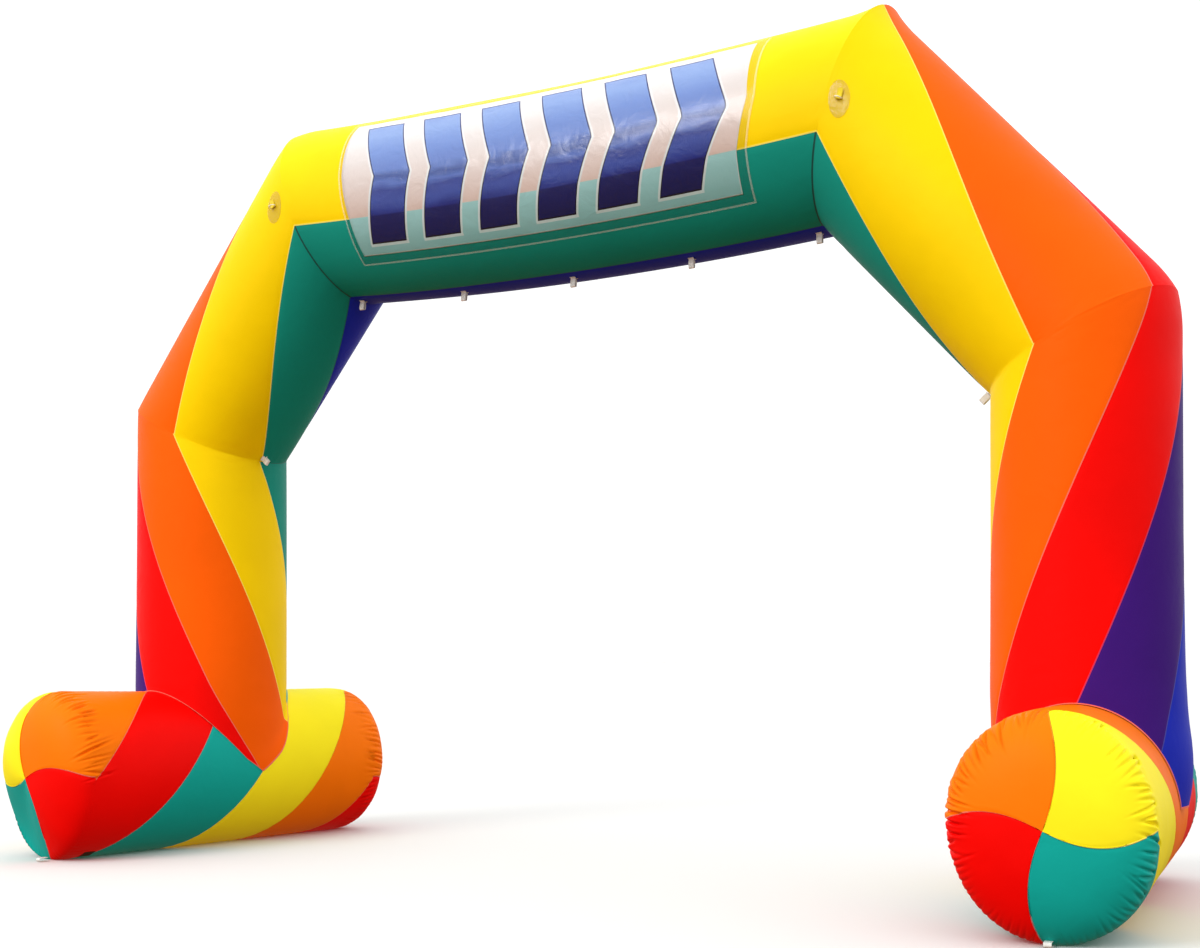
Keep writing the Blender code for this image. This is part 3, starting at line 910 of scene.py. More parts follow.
# ---- panels and seams ----
# angles rise from the front towards the passage; the first edge of each panel is given
ARCH_PANELS = (
    (Cloth.ORANGE, Welt.PINK), (Cloth.YELLOW, Welt.PALE_YELLOW), (Cloth.TEAL, Welt.PALE_YELLOW),
    (Cloth.BLUE, Welt.DEEP_TEAL), (Cloth.PURPLE, Welt.INDIGO), (Cloth.RED, Welt.ROSE))
END_WELD = 2 * len(ARCH_PANELS)  # slot of the weld on a tube's end, after cloths and welts
MITRE_WELD = 0.0024  # width of the dark weld at a mitre, as a share of a tube's length
KNEE_EDGES = (-60.5, 16.0, 86.0, 141.0, 191.0, 241.0)
SHOULDER_EDGES = (-127.0, -75.0, 17.0, 77.0, 129.0, 181.0)
DIAGONAL_BOWS = (0.0, 9.0, 1.0, 0.0, 0.0, 0.0)  # degrees at mid-length
LEG_EDGES = (101.5, 162.0, 222.0, 284.0, 344.0, 404.0)  # where the leg meets the ground
LEG_TWIST = 150.0  # degrees from there to the knee's height
NO_TIP = 9.0  # a height above all of the leg, where no cloth hangs over its base
# degrees and heights of the tongue of cloth by which a leg hangs over its base
LEG_TIPS = {Side.LEFT: ((60.0, 0.577), (75.0, 0.475), (85.0, 0.428), (90.0, 0.402), (95.0, 0.424),
                        (105.0, 0.474), (110.0, 0.499), (115.0, 0.536), (120.0, 0.585),
                        (125.0, 0.639), (130.0, 0.695), (137.0, 0.750), (145.0, 0.798)),
            Side.RIGHT: ((0.0, NO_TIP),)}
LEG_BENDS = {Side.LEFT: 13.0, Side.RIGHT: 0.0}  # degrees of extra swing near the ground
LEG_BEND_TOP = 0.90  # the height where that begins
LEG_BEND_REACH = 0.5
LEG_PANEL = 60.5  # mean width of a leg's panel in degrees
TWIST_ROUNDS = 6  # of the sum that fits a stripe's angle to the height it reaches
HALVINGS = 30  # of the search for the place where a leg meets its base
LEG_FLARES = {Side.LEFT: 0.0, Side.RIGHT: 0.042}  # of the outer side where it meets the base
FLARE_HEIGHT = 0.55
FLARE_REACH = 0.22

WELT_HALF = 0.0027  # half the width of a welded seam
WELT_HIGH = 0.0005
SEAM_DIP = 0.0016  # how far a seam draws the cloth in
SEAM_REACH = 0.016


@dataclass
class Columns:
    """Columns of a tube's grid: where each lies between two panel edges."""

    panel: Array  # index of the panel
    part: Array  # 0 on its first edge, 1 on its last
    nudge: Array  # in metres along the ring, for the edges of the welts
    slots: Array  # material slot of the faces after each column

    @staticmethod
    def of(panels: int, per_panel: int, ends: float) -> "Columns":
        """Lay out columns: a welt on each edge, and clustered ones between.

        Args:
            panels: How many panels go round the tube.
            per_panel: Columns of faces in each panel.
            ends: Spacing next to a welt against the even spacing.

        Returns:
            The columns. Slots below panels are cloth, and the others welts.
        """
        spread = clustered(per_panel, ends)[1:-1]
        panel, part, nudge, slots = [], [], [], []
        for k in range(panels):
            before = (k - 1) % panels
            panel += [before, k, k] + [k] * len(spread)
            part += [1.0, 0.0, 0.0] + spread.tolist()
            nudge += [-WELT_HALF, 0.0, WELT_HALF] + [0.0] * len(spread)
            slots += [panels + k, panels + k, k] + [k] * len(spread)
        return Columns(np.array(panel), np.array(part), np.array(nudge), np.array(slots))


def edge_angles(edges: Array, columns: Columns, radius: float) -> Array:
    """Angles of the columns from the angles of the panel edges.

    Args:
        edges: Rows by panels, in radians and rising; the next turn follows the last one.
        columns: The tube's columns.
        radius: Radius of the tube, for the welts' width.

    Returns:
        Rows by columns, rising from a little before the first edge.
    """
    following = np.concatenate((edges[:, 1:], edges[:, :1] + TURN), axis=1)
    low, high = edges[:, columns.panel], following[:, columns.panel]
    angle = low + (high - low) * columns.part + columns.nudge / radius
    first = (columns.panel == len(edges[0]) - 1) & (columns.part == 1.0)
    return np.where(first, angle - TURN, angle)


def seam_relief(columns: Columns, angle: Array, edges: Array, radius: float) -> Array:
    """How far the panel seams lift or draw in the cloth.

    Args:
        columns: The tube's columns; not used.
        angle: Angles of the columns, rows by columns.
        edges: Angles of the panel edges, rows by panels.
        radius: Radius of the tube.

    Returns:
        Heights in metres, rows by columns.
    """
    gap = np.full(angle.shape, 1e9)
    for k in range(edges.shape[1]):
        off = np.abs((angle - edges[:, k:k + 1] + math.pi) % TURN - math.pi) * radius
        gap = np.minimum(gap, off)
    dip = -SEAM_DIP * np.exp(-(gap / SEAM_REACH) ** 2)
    return dip + WELT_HIGH * (gap < WELT_HALF * 0.5)


def tube_uv(angle: Array, along: Array, radius: float) -> Array:
    """UV in metres for a closed tube.

    Args:
        angle: Angles, rows by columns.
        along: Distances along the tube, rows by columns.
        radius: Radius of the tube.

    Returns:
        Rows by columns + 1 by 2.
    """
    angle = np.concatenate((angle, angle[:, :1] + TURN), axis=1)
    along = np.concatenate((along, along[:, :1]), axis=1)
    return np.stack((angle * radius, along), axis=-1)


@dataclass
class StripedTube:
    """A tube of the arch between two mitre seams, in six coloured panels."""

    name: str
    span: Span
    start_edges: Sequence[float]
    end_edges: Sequence[float]
    rows: int
    seed: int
    per_panel: int = 30
    near_seams: float = 0.22  # spacing of the rows near the mitres, against the even one
    near_welts: float = 0.35  # and of the columns near the welts
    plain: float = 0.006  # flat cloth next to the mitre's weld
    gather: float = 0.0016  # depth of the small gathers along a mitre seam
    gather_size: float = 0.055
    gather_aspect: float = 6.0
    gather_reach: float = 0.050
    inner_gather: float = 0.0040  # and of the large ones in the inner corner
    inner_size: float = 0.12
    inner_aspect: float = 5.0
    inner_reach: float = 0.11
    billow_reach: float = 0.05
    bows: Sequence[float] = (0.0,) * 6  # degrees by which the edges stand off at mid-length

    def edges(self, rows: Array) -> Array:
        """Angles of the panel edges on each row.

        Args:
            rows: Places along the tube, from 0 to 1.

        Returns:
            Rows by panels, in radians.
        """
        low, high = np.radians(self.start_edges), np.radians(self.end_edges)
        bow = np.radians(self.bows) * np.sin(np.pi * rows[:, None])
        return low + (high - low) * rows[:, None] + bow

    def relief(self, place: Array, angle: Array) -> Array:
        """Gathers along the mitre seams, strongest in the inner corner.

        Args:
            place: Places along the tube, rows by columns.
            angle: Angles, rows by columns.

        Returns:
            Heights in metres, rows by columns.
        """
        length = self.span.lengths(angle)
        total = np.zeros(angle.shape)
        inner = np.clip(np.sin(angle), 0, 1) ** 3
        arc = angle * TUBE_R
        for k, distance in enumerate((place * length, (1 - place) * length)):
            small = Ripples(self.seed + k, self.gather_size, self.gather_aspect)
            large = Ripples(self.seed + 10 + k, self.inner_size, self.inner_aspect)
            narrow = folded(small.at(arc, distance)) * np.exp(-(distance / self.gather_reach) ** 2)
            wide = (folded(large.at(arc, distance), 1.0) * inner
                    * np.exp(-distance / self.inner_reach))
            off_seam = 1 - np.exp(-distance / self.plain)
            total += (self.gather * narrow + self.inner_gather * wide) * off_seam
        fade = np.minimum(place, 1 - place) * length / self.billow_reach
        return total + billows(self.seed + 20, arc, place * length, fade)

    def build(self, finishes: Finishes) -> Object:
        """Make the tube.

        Args:
            finishes: The scene's materials.

        Returns:
            The new piece.
        """
        inner = clustered(self.rows - 2, self.near_seams)
        rows = np.concatenate(((0.0,), MITRE_WELD + (1 - 2 * MITRE_WELD) * inner, (1.0,)))
        columns = Columns.of(len(ARCH_PANELS), self.per_panel, self.near_welts)
        edges = self.edges(rows)
        angle = edge_angles(edges, columns, TUBE_R)
        place = np.broadcast_to(rows[:, None], angle.shape)
        points = self.span.at(place, angle)
        lift = self.relief(place, angle) + seam_relief(columns, angle, edges, TUBE_R)
        points = points + outwards(points) * lift[..., None]
        slots = np.repeat(columns.slots[None, :], len(rows) - 1, axis=0)
        teal = [cloth for cloth, _ in ARCH_PANELS].index(Cloth.TEAL)
        for end in (0, -1):
            slots[end, slots[end] == teal] = END_WELD
        uv = tube_uv(angle, place * self.span.lengths(angle), TUBE_R)
        return self.filled(Grid(points, uv, slots, True), Welt.DARK_TEAL, finishes)

    def filled(self, grid: Grid, weld: Welt, finishes: Finishes) -> Object:
        """Make the tube's piece.

        Args:
            grid: Its surface.
            weld: Colour of the weld on its end.
            finishes: The scene's materials.

        Returns:
            The new piece.
        """
        materials = finishes.panels(ARCH_PANELS) + [finishes.welt(weld)]
        piece = grid.build(self.name, materials)
        return piece


@dataclass
class StripedLeg(StripedTube):
    """A leg, whose stripes wind round it at an even pitch and which sits astride its base."""

    side: Side = Side.LEFT
    tip_slack: float = 0.050  # how far the soft tip may hang below the plain solid
    tip_round: float = 1.8  # how its end rounds up to both sides, per metre
    hem: float = 0.004  # depth of the weld onto the base, as a share of the cloth's length
    hem_high: float = 0.0012
    hem_reach: float = 0.012
    clear: float = 0.0025  # height of the cloth above the base that it lies on
    soft: float = 0.025  # how gently it leaves the base, as a share of the base's radius
    soft_reach: float = 0.03

    def lowest(self, angle: Array) -> Array:
        """Heights down to which the leg's tongue is welded onto its base, or NO_TIP."""
        tip = LEG_TIPS[self.side]
        return np.interp(np.degrees(angle) % 360.0, [degrees for degrees, _ in tip],
                         [height for _, height in tip], left=NO_TIP, right=NO_TIP)

    def law(self, place: Array, edge: Array) -> Array:
        """Angle of a stripe's edge at a place, which depends on the height there.

        Args:
            place: Places along the leg, from 0 to 1.
            edge: Angles at the ground, in radians.

        Returns:
            Angles in radians.
        """
        knee = KNEES[self.side].height * TALL
        angle = edge - math.radians(LEG_TWIST) * place
        for _ in range(TWIST_ROUNDS):
            height = self.span.at(place, angle)[..., 2]
            low = np.clip((LEG_BEND_TOP - height) / LEG_BEND_REACH, 0.0, 1.2)
            bend = math.radians(LEG_BENDS[self.side]) * low ** 1.5
            angle = edge - math.radians(LEG_TWIST) * height / knee + bend
        return angle

    def surface(self, place: Array, angle: Array) -> Array:
        """Points of the leg, flared where its outer side stands on the base.

        Args:
            place: Places along the leg, from 0 to 1.
            angle: Angles round the tube.

        Returns:
            Points along the last axis.
        """
        points = self.span.at(place, angle)
        near = np.exp(-((points[..., 2] - FLARE_HEIGHT) / FLARE_REACH) ** 2)
        outer = np.maximum(0.0, -np.sin(angle))
        points[..., 0] += self.side.value * LEG_FLARES[self.side] * near * outer
        return points

    def saddle(self, ground: Array) -> Array:
        """Find where the leg meets its base, by halving.

        Args:
            ground: Angles of the columns at the ground.

        Returns:
            Places along the leg, one per column.
        """
        base = Base(self.side)
        low = np.full(ground.shape, 0.9 * BASE_DRAWN_R / KNEES[self.side].height)
        high = np.full(ground.shape, 0.5)
        for _ in range(HALVINGS):
            middle = (low + high) / 2
            here = self.law(middle, ground)
            points = self.surface(middle, here)
            inside = (base.depth_inside(points) > 0) & (points[..., 2] < self.lowest(here))
            low, high = np.where(inside, middle, low), np.where(inside, high, middle)
        return high

    def build(self, finishes: Finishes) -> Object:
        """Make the leg.

        Args:
            finishes: The scene's materials.

        Returns:
            The new piece.
        """
        columns = Columns.of(len(ARCH_PANELS), self.per_panel, self.near_welts)
        ground = edge_angles(np.radians(LEG_EDGES)[None, :], columns, TUBE_R)[0]
        saddle = self.saddle(ground)
        above_hem = self.hem + (1 - self.hem) * clustered(self.rows, self.near_seams)
        rows = np.concatenate(((0.0,), above_hem))
        place = saddle + (1 - saddle) * rows[:, None]
        angle = self.law(place, np.broadcast_to(ground, place.shape))
        points = self.surface(place, angle)
        lift = self.relief(place, angle) + self.column_relief(columns)
        above = (place - saddle) * self.span.lengths(angle)
        lift += self.hem_high * np.exp(-(above / self.hem_reach) ** 2)
        points = points + outwards(points) * lift[..., None]
        soft = self.soft * (1 - np.exp(-above / self.soft_reach))
        points = Base(self.side).pushed_out(points, self.clear, soft)
        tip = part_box("leg_" + self.side.word)[0][2] - self.tip_slack
        points[..., 2] = np.maximum(points[..., 2], tip + self.tip_round * points[..., 1] ** 2)
        slots = np.repeat(columns.slots[None, :], len(rows) - 1, axis=0)
        slots[:1] = END_WELD
        uv = tube_uv(angle, place * self.span.lengths(angle), TUBE_R)
        return self.filled(Grid(points, uv, slots, True), Welt.PINK, finishes)

    def column_relief(self, columns: Columns) -> Array:
        """The seams' relief by columns alone, as the edges run with the columns here.

        Args:
            columns: The leg's columns.

        Returns:
            Heights in metres, one per column.
        """
        share = math.radians(LEG_PANEL) * TUBE_R
        gap = np.minimum(columns.part, 1 - columns.part) * share + np.abs(columns.nudge)
        return -SEAM_DIP * np.exp(-(gap / SEAM_REACH) ** 2) + WELT_HIGH * (gap < WELT_HALF / 2)


# ---- base tubes and caps ----
# angles rise from the outer side over the top; the first edge of each panel at the front seam
BASE_PANELS = ((Cloth.TANGERINE, Welt.AMBER), (Cloth.RED, Welt.PINK), (Cloth.SEA, Welt.GREY),
               (Cloth.LEMON, Welt.PALE_YELLOW))
BASE_EDGES = (90.0, 180.0, 270.0, 360.0)
CAP_EDGES = (90.0, 178.0, 267.0, 360.0)
# degrees per metre and per metre squared, and a quick first turn
BASE_TWISTS = {Side.LEFT: (157.0, 17.7, 0.0), Side.RIGHT: (79.0, 40.0, 25.0)}
FIRST_TURN_REACH = 0.12
CAP_SWIRL = 23.0  # turn of the cap's seams between the rim and the middle
CAP_SWIRL_BEND = 1.4


@dataclass(frozen=True)
class GatherPlan:
    """Where the seam of a cap gathers the cloth: strengths by degrees, and where they lie."""

    seed: int
    lean: float  # how far ahead of the seam the gathers' middles lie
    degrees: tuple[float, ...]
    strengths: tuple[float, ...]
    far_side: float = 150.0  # degrees round which they lie twice as far ahead
    far_wide: float = 40.0


PASSAGE_AND_OUTSIDE = ((0, 60, 90, 150, 180, 210, 270, 330, 360),
                       (0.8, 0.3, 0.5, 0.9, 0.9, 0.6, 0.3, 0.5, 0.8))
GATHER_PLANS = {
    (Side.LEFT, True): GatherPlan(
        81, 0.0, (0, 60, 85, 96, 135, 168, 178, 184, 205, 270, 330, 360),
        (0.6, 0.3, 0.4, 1.5, 1.6, 1.3, 0.5, 0.03, 0.03, 0.2, 0.4, 0.6)),
    (Side.RIGHT, True): GatherPlan(
        83, 0.045, (0, 25, 45, 75, 105, 130, 150, 180, 205, 225, 260, 300, 335, 360),
        (1.3, 1.5, 1.3, 0.6, 1.1, 1.7, 2.1, 1.6, 0.6, 0.3, 0.3, 0.4, 0.9, 1.3)),
    (Side.LEFT, False): GatherPlan(85, 0.0, *PASSAGE_AND_OUTSIDE),
    (Side.RIGHT, False): GatherPlan(87, 0.0, *PASSAGE_AND_OUTSIDE)}


class Gathers:
    """Folds that a cap's seam pulls into the cloth: narrow creases with soft shoulders.

    A tube and its cap share them, and distances run forwards through the seam between the two,
    so their edges meet without a step.
    """

    def __init__(self, plan: GatherPlan) -> None:
        """Draw the creases.

        Args:
            plan: Where they lie.
        """
        draw = np.random.default_rng(plan.seed)
        self.plan = plan
        self.girth = TURN * BASE_DEPTH_R
        places = np.cumsum(draw.uniform(0.020, 0.040, 200))
        self.places = places[places < self.girth - 0.012]
        count = len(self.places)
        degrees = self.places / self.girth * 360.0
        side = np.exp(-((degrees - plan.far_side) / plan.far_wide) ** 2)
        self.middles = plan.lean * (1 + side) + draw.normal(0.0, 0.016, count)
        self.halves = draw.uniform(0.036, 0.098, count)
        self.depths = draw.uniform(0.0045, 0.0150, count)
        self.skews = draw.uniform(-0.12, 0.30, count)
        self.widths = draw.uniform(0.0046, 0.0066, count)

    def at(self, angle: Array, distance: Array) -> Array:
        """Height of the gathers.

        Args:
            angle: Angles round the tube.
            distance: Distances ahead of the seam, towards the tip of the cap.

        Returns:
            Heights in metres.
        """
        arc = angle * BASE_DEPTH_R
        total = np.zeros(angle.shape)
        for place, middle, half, depth, skew, width in zip(
                self.places, self.middles, self.halves, self.depths, self.skews, self.widths):
            off = distance - middle
            across = (arc - place - skew * off + self.girth / 2) % self.girth - self.girth / 2
            fade = np.exp(-np.abs(off / half) ** 3)
            fold = 0.36 * np.exp(-(across / (3 * width)) ** 2) - np.exp(-(across / width) ** 2)
            total += depth * fade * fold
        strength = np.interp(np.degrees(angle) % 360.0, self.plan.degrees, self.plan.strengths)
        return total * strength


# degrees, width in degrees, height as a share of the radius, and distance ahead of the middle
SWELLS = {Side.LEFT: ((95.0, 50.0, 0.028, BASE_HALF),),
          Side.RIGHT: ((150.0, 32.0, 0.032, BASE_HALF), (315.0, 32.0, 0.032, BASE_HALF),
                       (0.0, 60.0, -0.018, -BASE_HALF))}
SWELL_REACH = 0.45


def swelling(side: Side, angle: Array, ahead: Array) -> Array:
    """How much fuller than its ring a base tube is near its ends.

    Args:
        side: Which half of the arch.
        angle: Angles from the outer side over the top.
        ahead: Distance in front of the tube's middle.

    Returns:
        Factors of the ring's size.
    """
    total = np.zeros(angle.shape)
    for middle, wide, height, place in SWELLS[side]:
        off = (np.degrees(angle) - middle + 180.0) % 360.0 - 180.0
        along = (ahead - place) / SWELL_REACH
        total += height * np.exp(-(off / wide) ** 2 - along ** 2)
    return 1 + total


@dataclass
class BaseTube:
    """A tube that lies on the ground, with four stripes that wind round it."""

    side: Side
    seed: int
    per_panel: int = 168
    near_welts: float = 0.5  # spacing of the columns near the welts, against the even one
    fine_rows: int = 34
    middle_rows: int = 30
    end_reach: float = 0.22
    end_power: float = 1.3  # above 1, the fine rows lie closer near the seam
    rim_reach: float = 0.028  # how soon the tube widens from its seam
    billow_reach: float = 0.06
    tuck: float = 0.005  # how far each end runs on inside its cap
    tuck_depth: float = 0.010  # how much smaller it is there

    def drop(self, behind: Array) -> Array:
        """How far the stripes have turned.

        Args:
            behind: Distance behind the front seam.

        Returns:
            Angles in radians.
        """
        rate, bend, first = BASE_TWISTS[self.side]
        quick = first * (1 - np.exp(-np.maximum(behind, 0.0) / FIRST_TURN_REACH))
        return np.radians(rate * behind + bend * behind * behind + quick)

    def rows(self) -> Array:
        """Distances of the rows behind the front seam, close together near both ends.

        Returns:
            Rising distances in metres.
        """
        length = 2 * BASE_HALF
        fine = np.linspace(0, 1, self.fine_rows + 1) ** self.end_power * self.end_reach
        middle = np.linspace(self.end_reach, length - self.end_reach, self.middle_rows + 1)
        return np.concatenate(((-self.tuck,), fine, middle[1:-1], (length - fine)[::-1],
                               (length + self.tuck,)))

    def build(self, finishes: Finishes) -> None:
        """Make the tube and let it stand for its CAD node.

        Args:
            finishes: The scene's materials.
        """
        length = 2 * BASE_HALF
        behind = self.rows()
        columns = Columns.of(len(BASE_PANELS), self.per_panel, self.near_welts)
        edges = np.radians(BASE_EDGES) - self.drop(behind)[:, None]
        angle = edge_angles(edges, columns, BASE_DEPTH_R)
        inside = np.maximum(0.0, np.minimum(behind, length - behind))
        size = 1 - (1 - RIM_SIZE) * np.exp(-inside / self.rim_reach)
        size[[0, -1]] -= self.tuck_depth
        ahead = np.broadcast_to((BASE_HALF - behind)[:, None], angle.shape)
        size = size[:, None] * swelling(self.side, angle, ahead)
        points = Base(self.side).at(ahead, angle, size)
        lift = seam_relief(columns, angle, edges, BASE_DEPTH_R)
        for front, distance in ((True, -behind), (False, behind - length)):
            gathers = Gathers(GATHER_PLANS[self.side, front])
            lift += gathers.at(angle, np.broadcast_to(distance[:, None], angle.shape))
        lift += billows(self.seed + 20, angle * BASE_DEPTH_R, ahead,
                        inside[:, None] / self.billow_reach)
        points = points + outwards(points) * lift[..., None]
        points[..., 2] = np.maximum(points[..., 2], 0.0)
        uv = tube_uv(angle, ahead, BASE_DEPTH_R)
        name = "striped_base_tube_" + self.side.word
        materials = finishes.panels(BASE_PANELS)
        piece = Grid(points, uv, columns.slots, True).build(name, materials)
        keep(piece, "coated_fabric_red", "base_tube_" + self.side.word)


@dataclass(frozen=True)
class CapShape:
    """How a cap departs from an even dome."""

    bulge: float = CAP_BULGE  # how far it stands ahead of its seam
    top: float = 0.0  # how much fuller it is above its middle
    hollow: float = 0.0  # how much flatter it is low on its outer side


BACK_CAP = CapShape()
FRONT_CAPS = {Side.LEFT: CapShape(0.150, 0.25, 0.85), Side.RIGHT: CapShape()}
HOLLOW_SIDE = 305.0  # degrees round which a cap is hollow
HOLLOW_WIDE = 45.0


@dataclass
class EndCap:
    """A domed end of a base tube: four panels that swirl to a point, gathered into the seam."""

    side: Side
    front: bool
    seed: int
    per_panel: int = 168
    near_welts: float = 0.5
    rows: int = 46
    row_power: float = 1.25  # above 1, the rows lie closer near the seam
    narrowest: float = 0.05  # share of the rim within which welts stop narrowing
    rim_reach: float = 0.02  # how soon the cap's own normals take over from its tube's
    ripple_size: float = 0.3
    ripple: float = 0.0012
    ripple_reach: float = 0.06

    def edges(self, share: Array) -> Array:
        """Angles of the panel edges, which swirl towards the tip.

        Args:
            share: Sizes of the rows' rings against the rim.

        Returns:
            Rows by panels, in radians.
        """
        swirl = np.radians(CAP_SWIRL) * (1 - share ** CAP_SWIRL_BEND)
        if self.front:
            return np.radians(CAP_EDGES) - swirl[:, None]
        rim = np.radians(BASE_EDGES) - BaseTube(self.side, 0).drop(np.array(2 * BASE_HALF))
        return rim + swirl[:, None]

    def dome(self, turn: Array, angle: Array, size: Array) -> tuple[Array, Array, Array]:
        """The cap's smooth shape.

        Args:
            turn: Angles of the rows, from the rim's 0 to a quarter turn at the tip.
            angle: Angles of the columns, rows by columns.
            size: Sizes of the rows' rings against the tube's.

        Returns:
            The points, the unit normals, and the sizes with the tube's swelling.
        """
        shape = FRONT_CAPS[self.side] if self.front else BACK_CAP
        way = 1.0 if self.front else -1.0
        low_side = (np.degrees(angle) - HOLLOW_SIDE + 180.0) % 360.0 - 180.0
        pull = shape.hollow * np.exp(-(low_side / HOLLOW_WIDE) ** 2)
        fuller = 1 + (shape.top * np.sin(angle) - pull) * (size / RIM_SIZE)[:, None]
        ahead = way * (BASE_HALF + shape.bulge * np.sin(turn)[:, None] * fuller)
        size = size[:, None] * swelling(self.side, angle, ahead)
        base = Base(self.side)
        points = base.at(ahead, angle, size)
        centre = base.axis + base.forward * (way * BASE_HALF * 0.8)
        out = normals_of(points)
        out = out if np.sum(out * (points - centre), axis=-1).mean() > 0 else -out
        out[-1] = base.forward * way
        return points, out, size

    def build(self, finishes: Finishes) -> None:
        """Make the cap and let it stand for its CAD node.

        Args:
            finishes: The scene's materials.
        """
        turn = np.linspace(0, 1, self.rows + 1) ** self.row_power * (math.pi / 2)
        size = RIM_SIZE * np.cos(turn) ** CAP_FULLNESS
        size[-1] = 0.0
        columns = Columns.of(len(BASE_PANELS), self.per_panel, self.near_welts)
        edges = self.edges(size / RIM_SIZE)
        bare = Columns(columns.panel, columns.part, 0 * columns.nudge, columns.slots)
        wide = edge_angles(edges, bare, BASE_DEPTH_R)
        narrow = np.maximum(size / RIM_SIZE, self.narrowest)[:, None]
        angle = wide + (edge_angles(edges, columns, BASE_DEPTH_R) - wide) / narrow
        points, out, size = self.dome(turn, angle, size)
        step = np.linalg.norm(np.diff(points[:, 0], axis=0), axis=-1)
        reach = np.concatenate(((0.0,), np.cumsum(step)))
        distance = np.broadcast_to(reach[:, None], angle.shape)
        rim_share = np.exp(-distance / self.rim_reach)[..., None]
        out = unit(out * (1 - rim_share) + Base(self.side).ring_out(angle) * rim_share)
        lift = Gathers(GATHER_PLANS[self.side, self.front]).at(angle, distance)
        lift += seam_relief(columns, angle, edges, BASE_DEPTH_R) * np.minimum(1, 4 * narrow)
        slow = Ripples(self.seed + 9, self.ripple_size)
        slow = slow.at(points[..., 0] + points[..., 2], points[..., 1])
        lift += self.ripple * slow * (1 - np.exp(-distance / self.ripple_reach))
        lift[-1] = lift[-2].mean()
        points = points + out * lift[..., None]
        points[..., 2] = np.maximum(points[..., 2], 0.0)
        across = np.concatenate((angle, angle[:, :1] + TURN), axis=1)
        spoke = np.repeat(size[:, :1] * BASE_DEPTH_R, across.shape[1], axis=1)
        uv = np.stack((spoke * np.cos(across), spoke * np.sin(across)), axis=-1)
        end = "front" if self.front else "back"
        name = f"swirled_cap_{self.side.word}_{end}"
        materials = finishes.panels(BASE_PANELS)
        piece = Grid(points, uv, columns.slots, True).build(name, materials)
        rework(piece.data, close_tip)
        keep(piece, "coated_fabric_teal", f"base_cap_{self.side.word}_{end}")


def solidify(piece: Object, thick: float) -> Modifier:
    """Give a sheet its thickness, away from what it lies on.

    Args:
        piece: The sheet's object.
        thick: The thickness.

    Returns:
        The modifier that does it.
    """
    solid = piece.modifiers.new("thickness", "SOLIDIFY")
    solid.thickness = thick
    solid.offset = 1.0
    return solid


def rework(mesh: Mesh, change: Callable[[bmesh.types.BMesh], None]) -> None:
    """Change a mesh with a modelling operation.

    Args:
        mesh: The mesh.
        change: What to do to it.
    """
    work = bmesh.new()
    work.from_mesh(mesh)
    change(work)
    work.to_mesh(mesh)
    work.free()
    mesh.shade_smooth()


def close_tip(work: bmesh.types.BMesh) -> None:
    """Merge the points that lie on each other where a dome's columns meet."""
    bmesh.ops.remove_doubles(work, verts=work.verts, dist=1e-5)


def close_ends(work: bmesh.types.BMesh) -> None:
    """Close the open ends of a tube-like mesh."""
    bmesh.ops.holes_fill(work, edges=[e for e in work.edges if e.is_boundary], sides=0)
    bmesh.ops.recalc_face_normals(work, faces=work.faces)


# ---- banner and its clear cover ----
COLOUR_LINE = 17.0  # angle of the beam's seam between yellow and teal


@dataclass(frozen=True)
class SheetEdge:
    """A sheet's outline on the beam: angles down from the front, left edges and right edges."""

    degrees: tuple[float, ...]
    left: tuple[float, ...]
    right: tuple[float, ...]

    def at(self, degrees: Array, share: Array) -> Array:
        """X of points of the sheet.

        Args:
            degrees: Angles down from the front.
            share: Shares of the way from the left edge to the right one.

        Returns:
            Values of X.
        """
        left = np.interp(degrees, self.degrees, self.left)
        right = np.interp(degrees, self.degrees, self.right)
        return left + (right - left) * share


BANNER_EDGE = SheetEdge((-55.0, -10.0, 17.5, 41.5), (-1.322, -1.285, -1.236, -1.205),
                        (1.072, 1.105, 1.045, 1.036))
COVER_EDGE = SheetEdge((-59.0, -10.0, 17.5, 48.0), (-1.345, -1.305, -1.262, -1.232),
                       (1.138, 1.150, 1.100, 1.092))


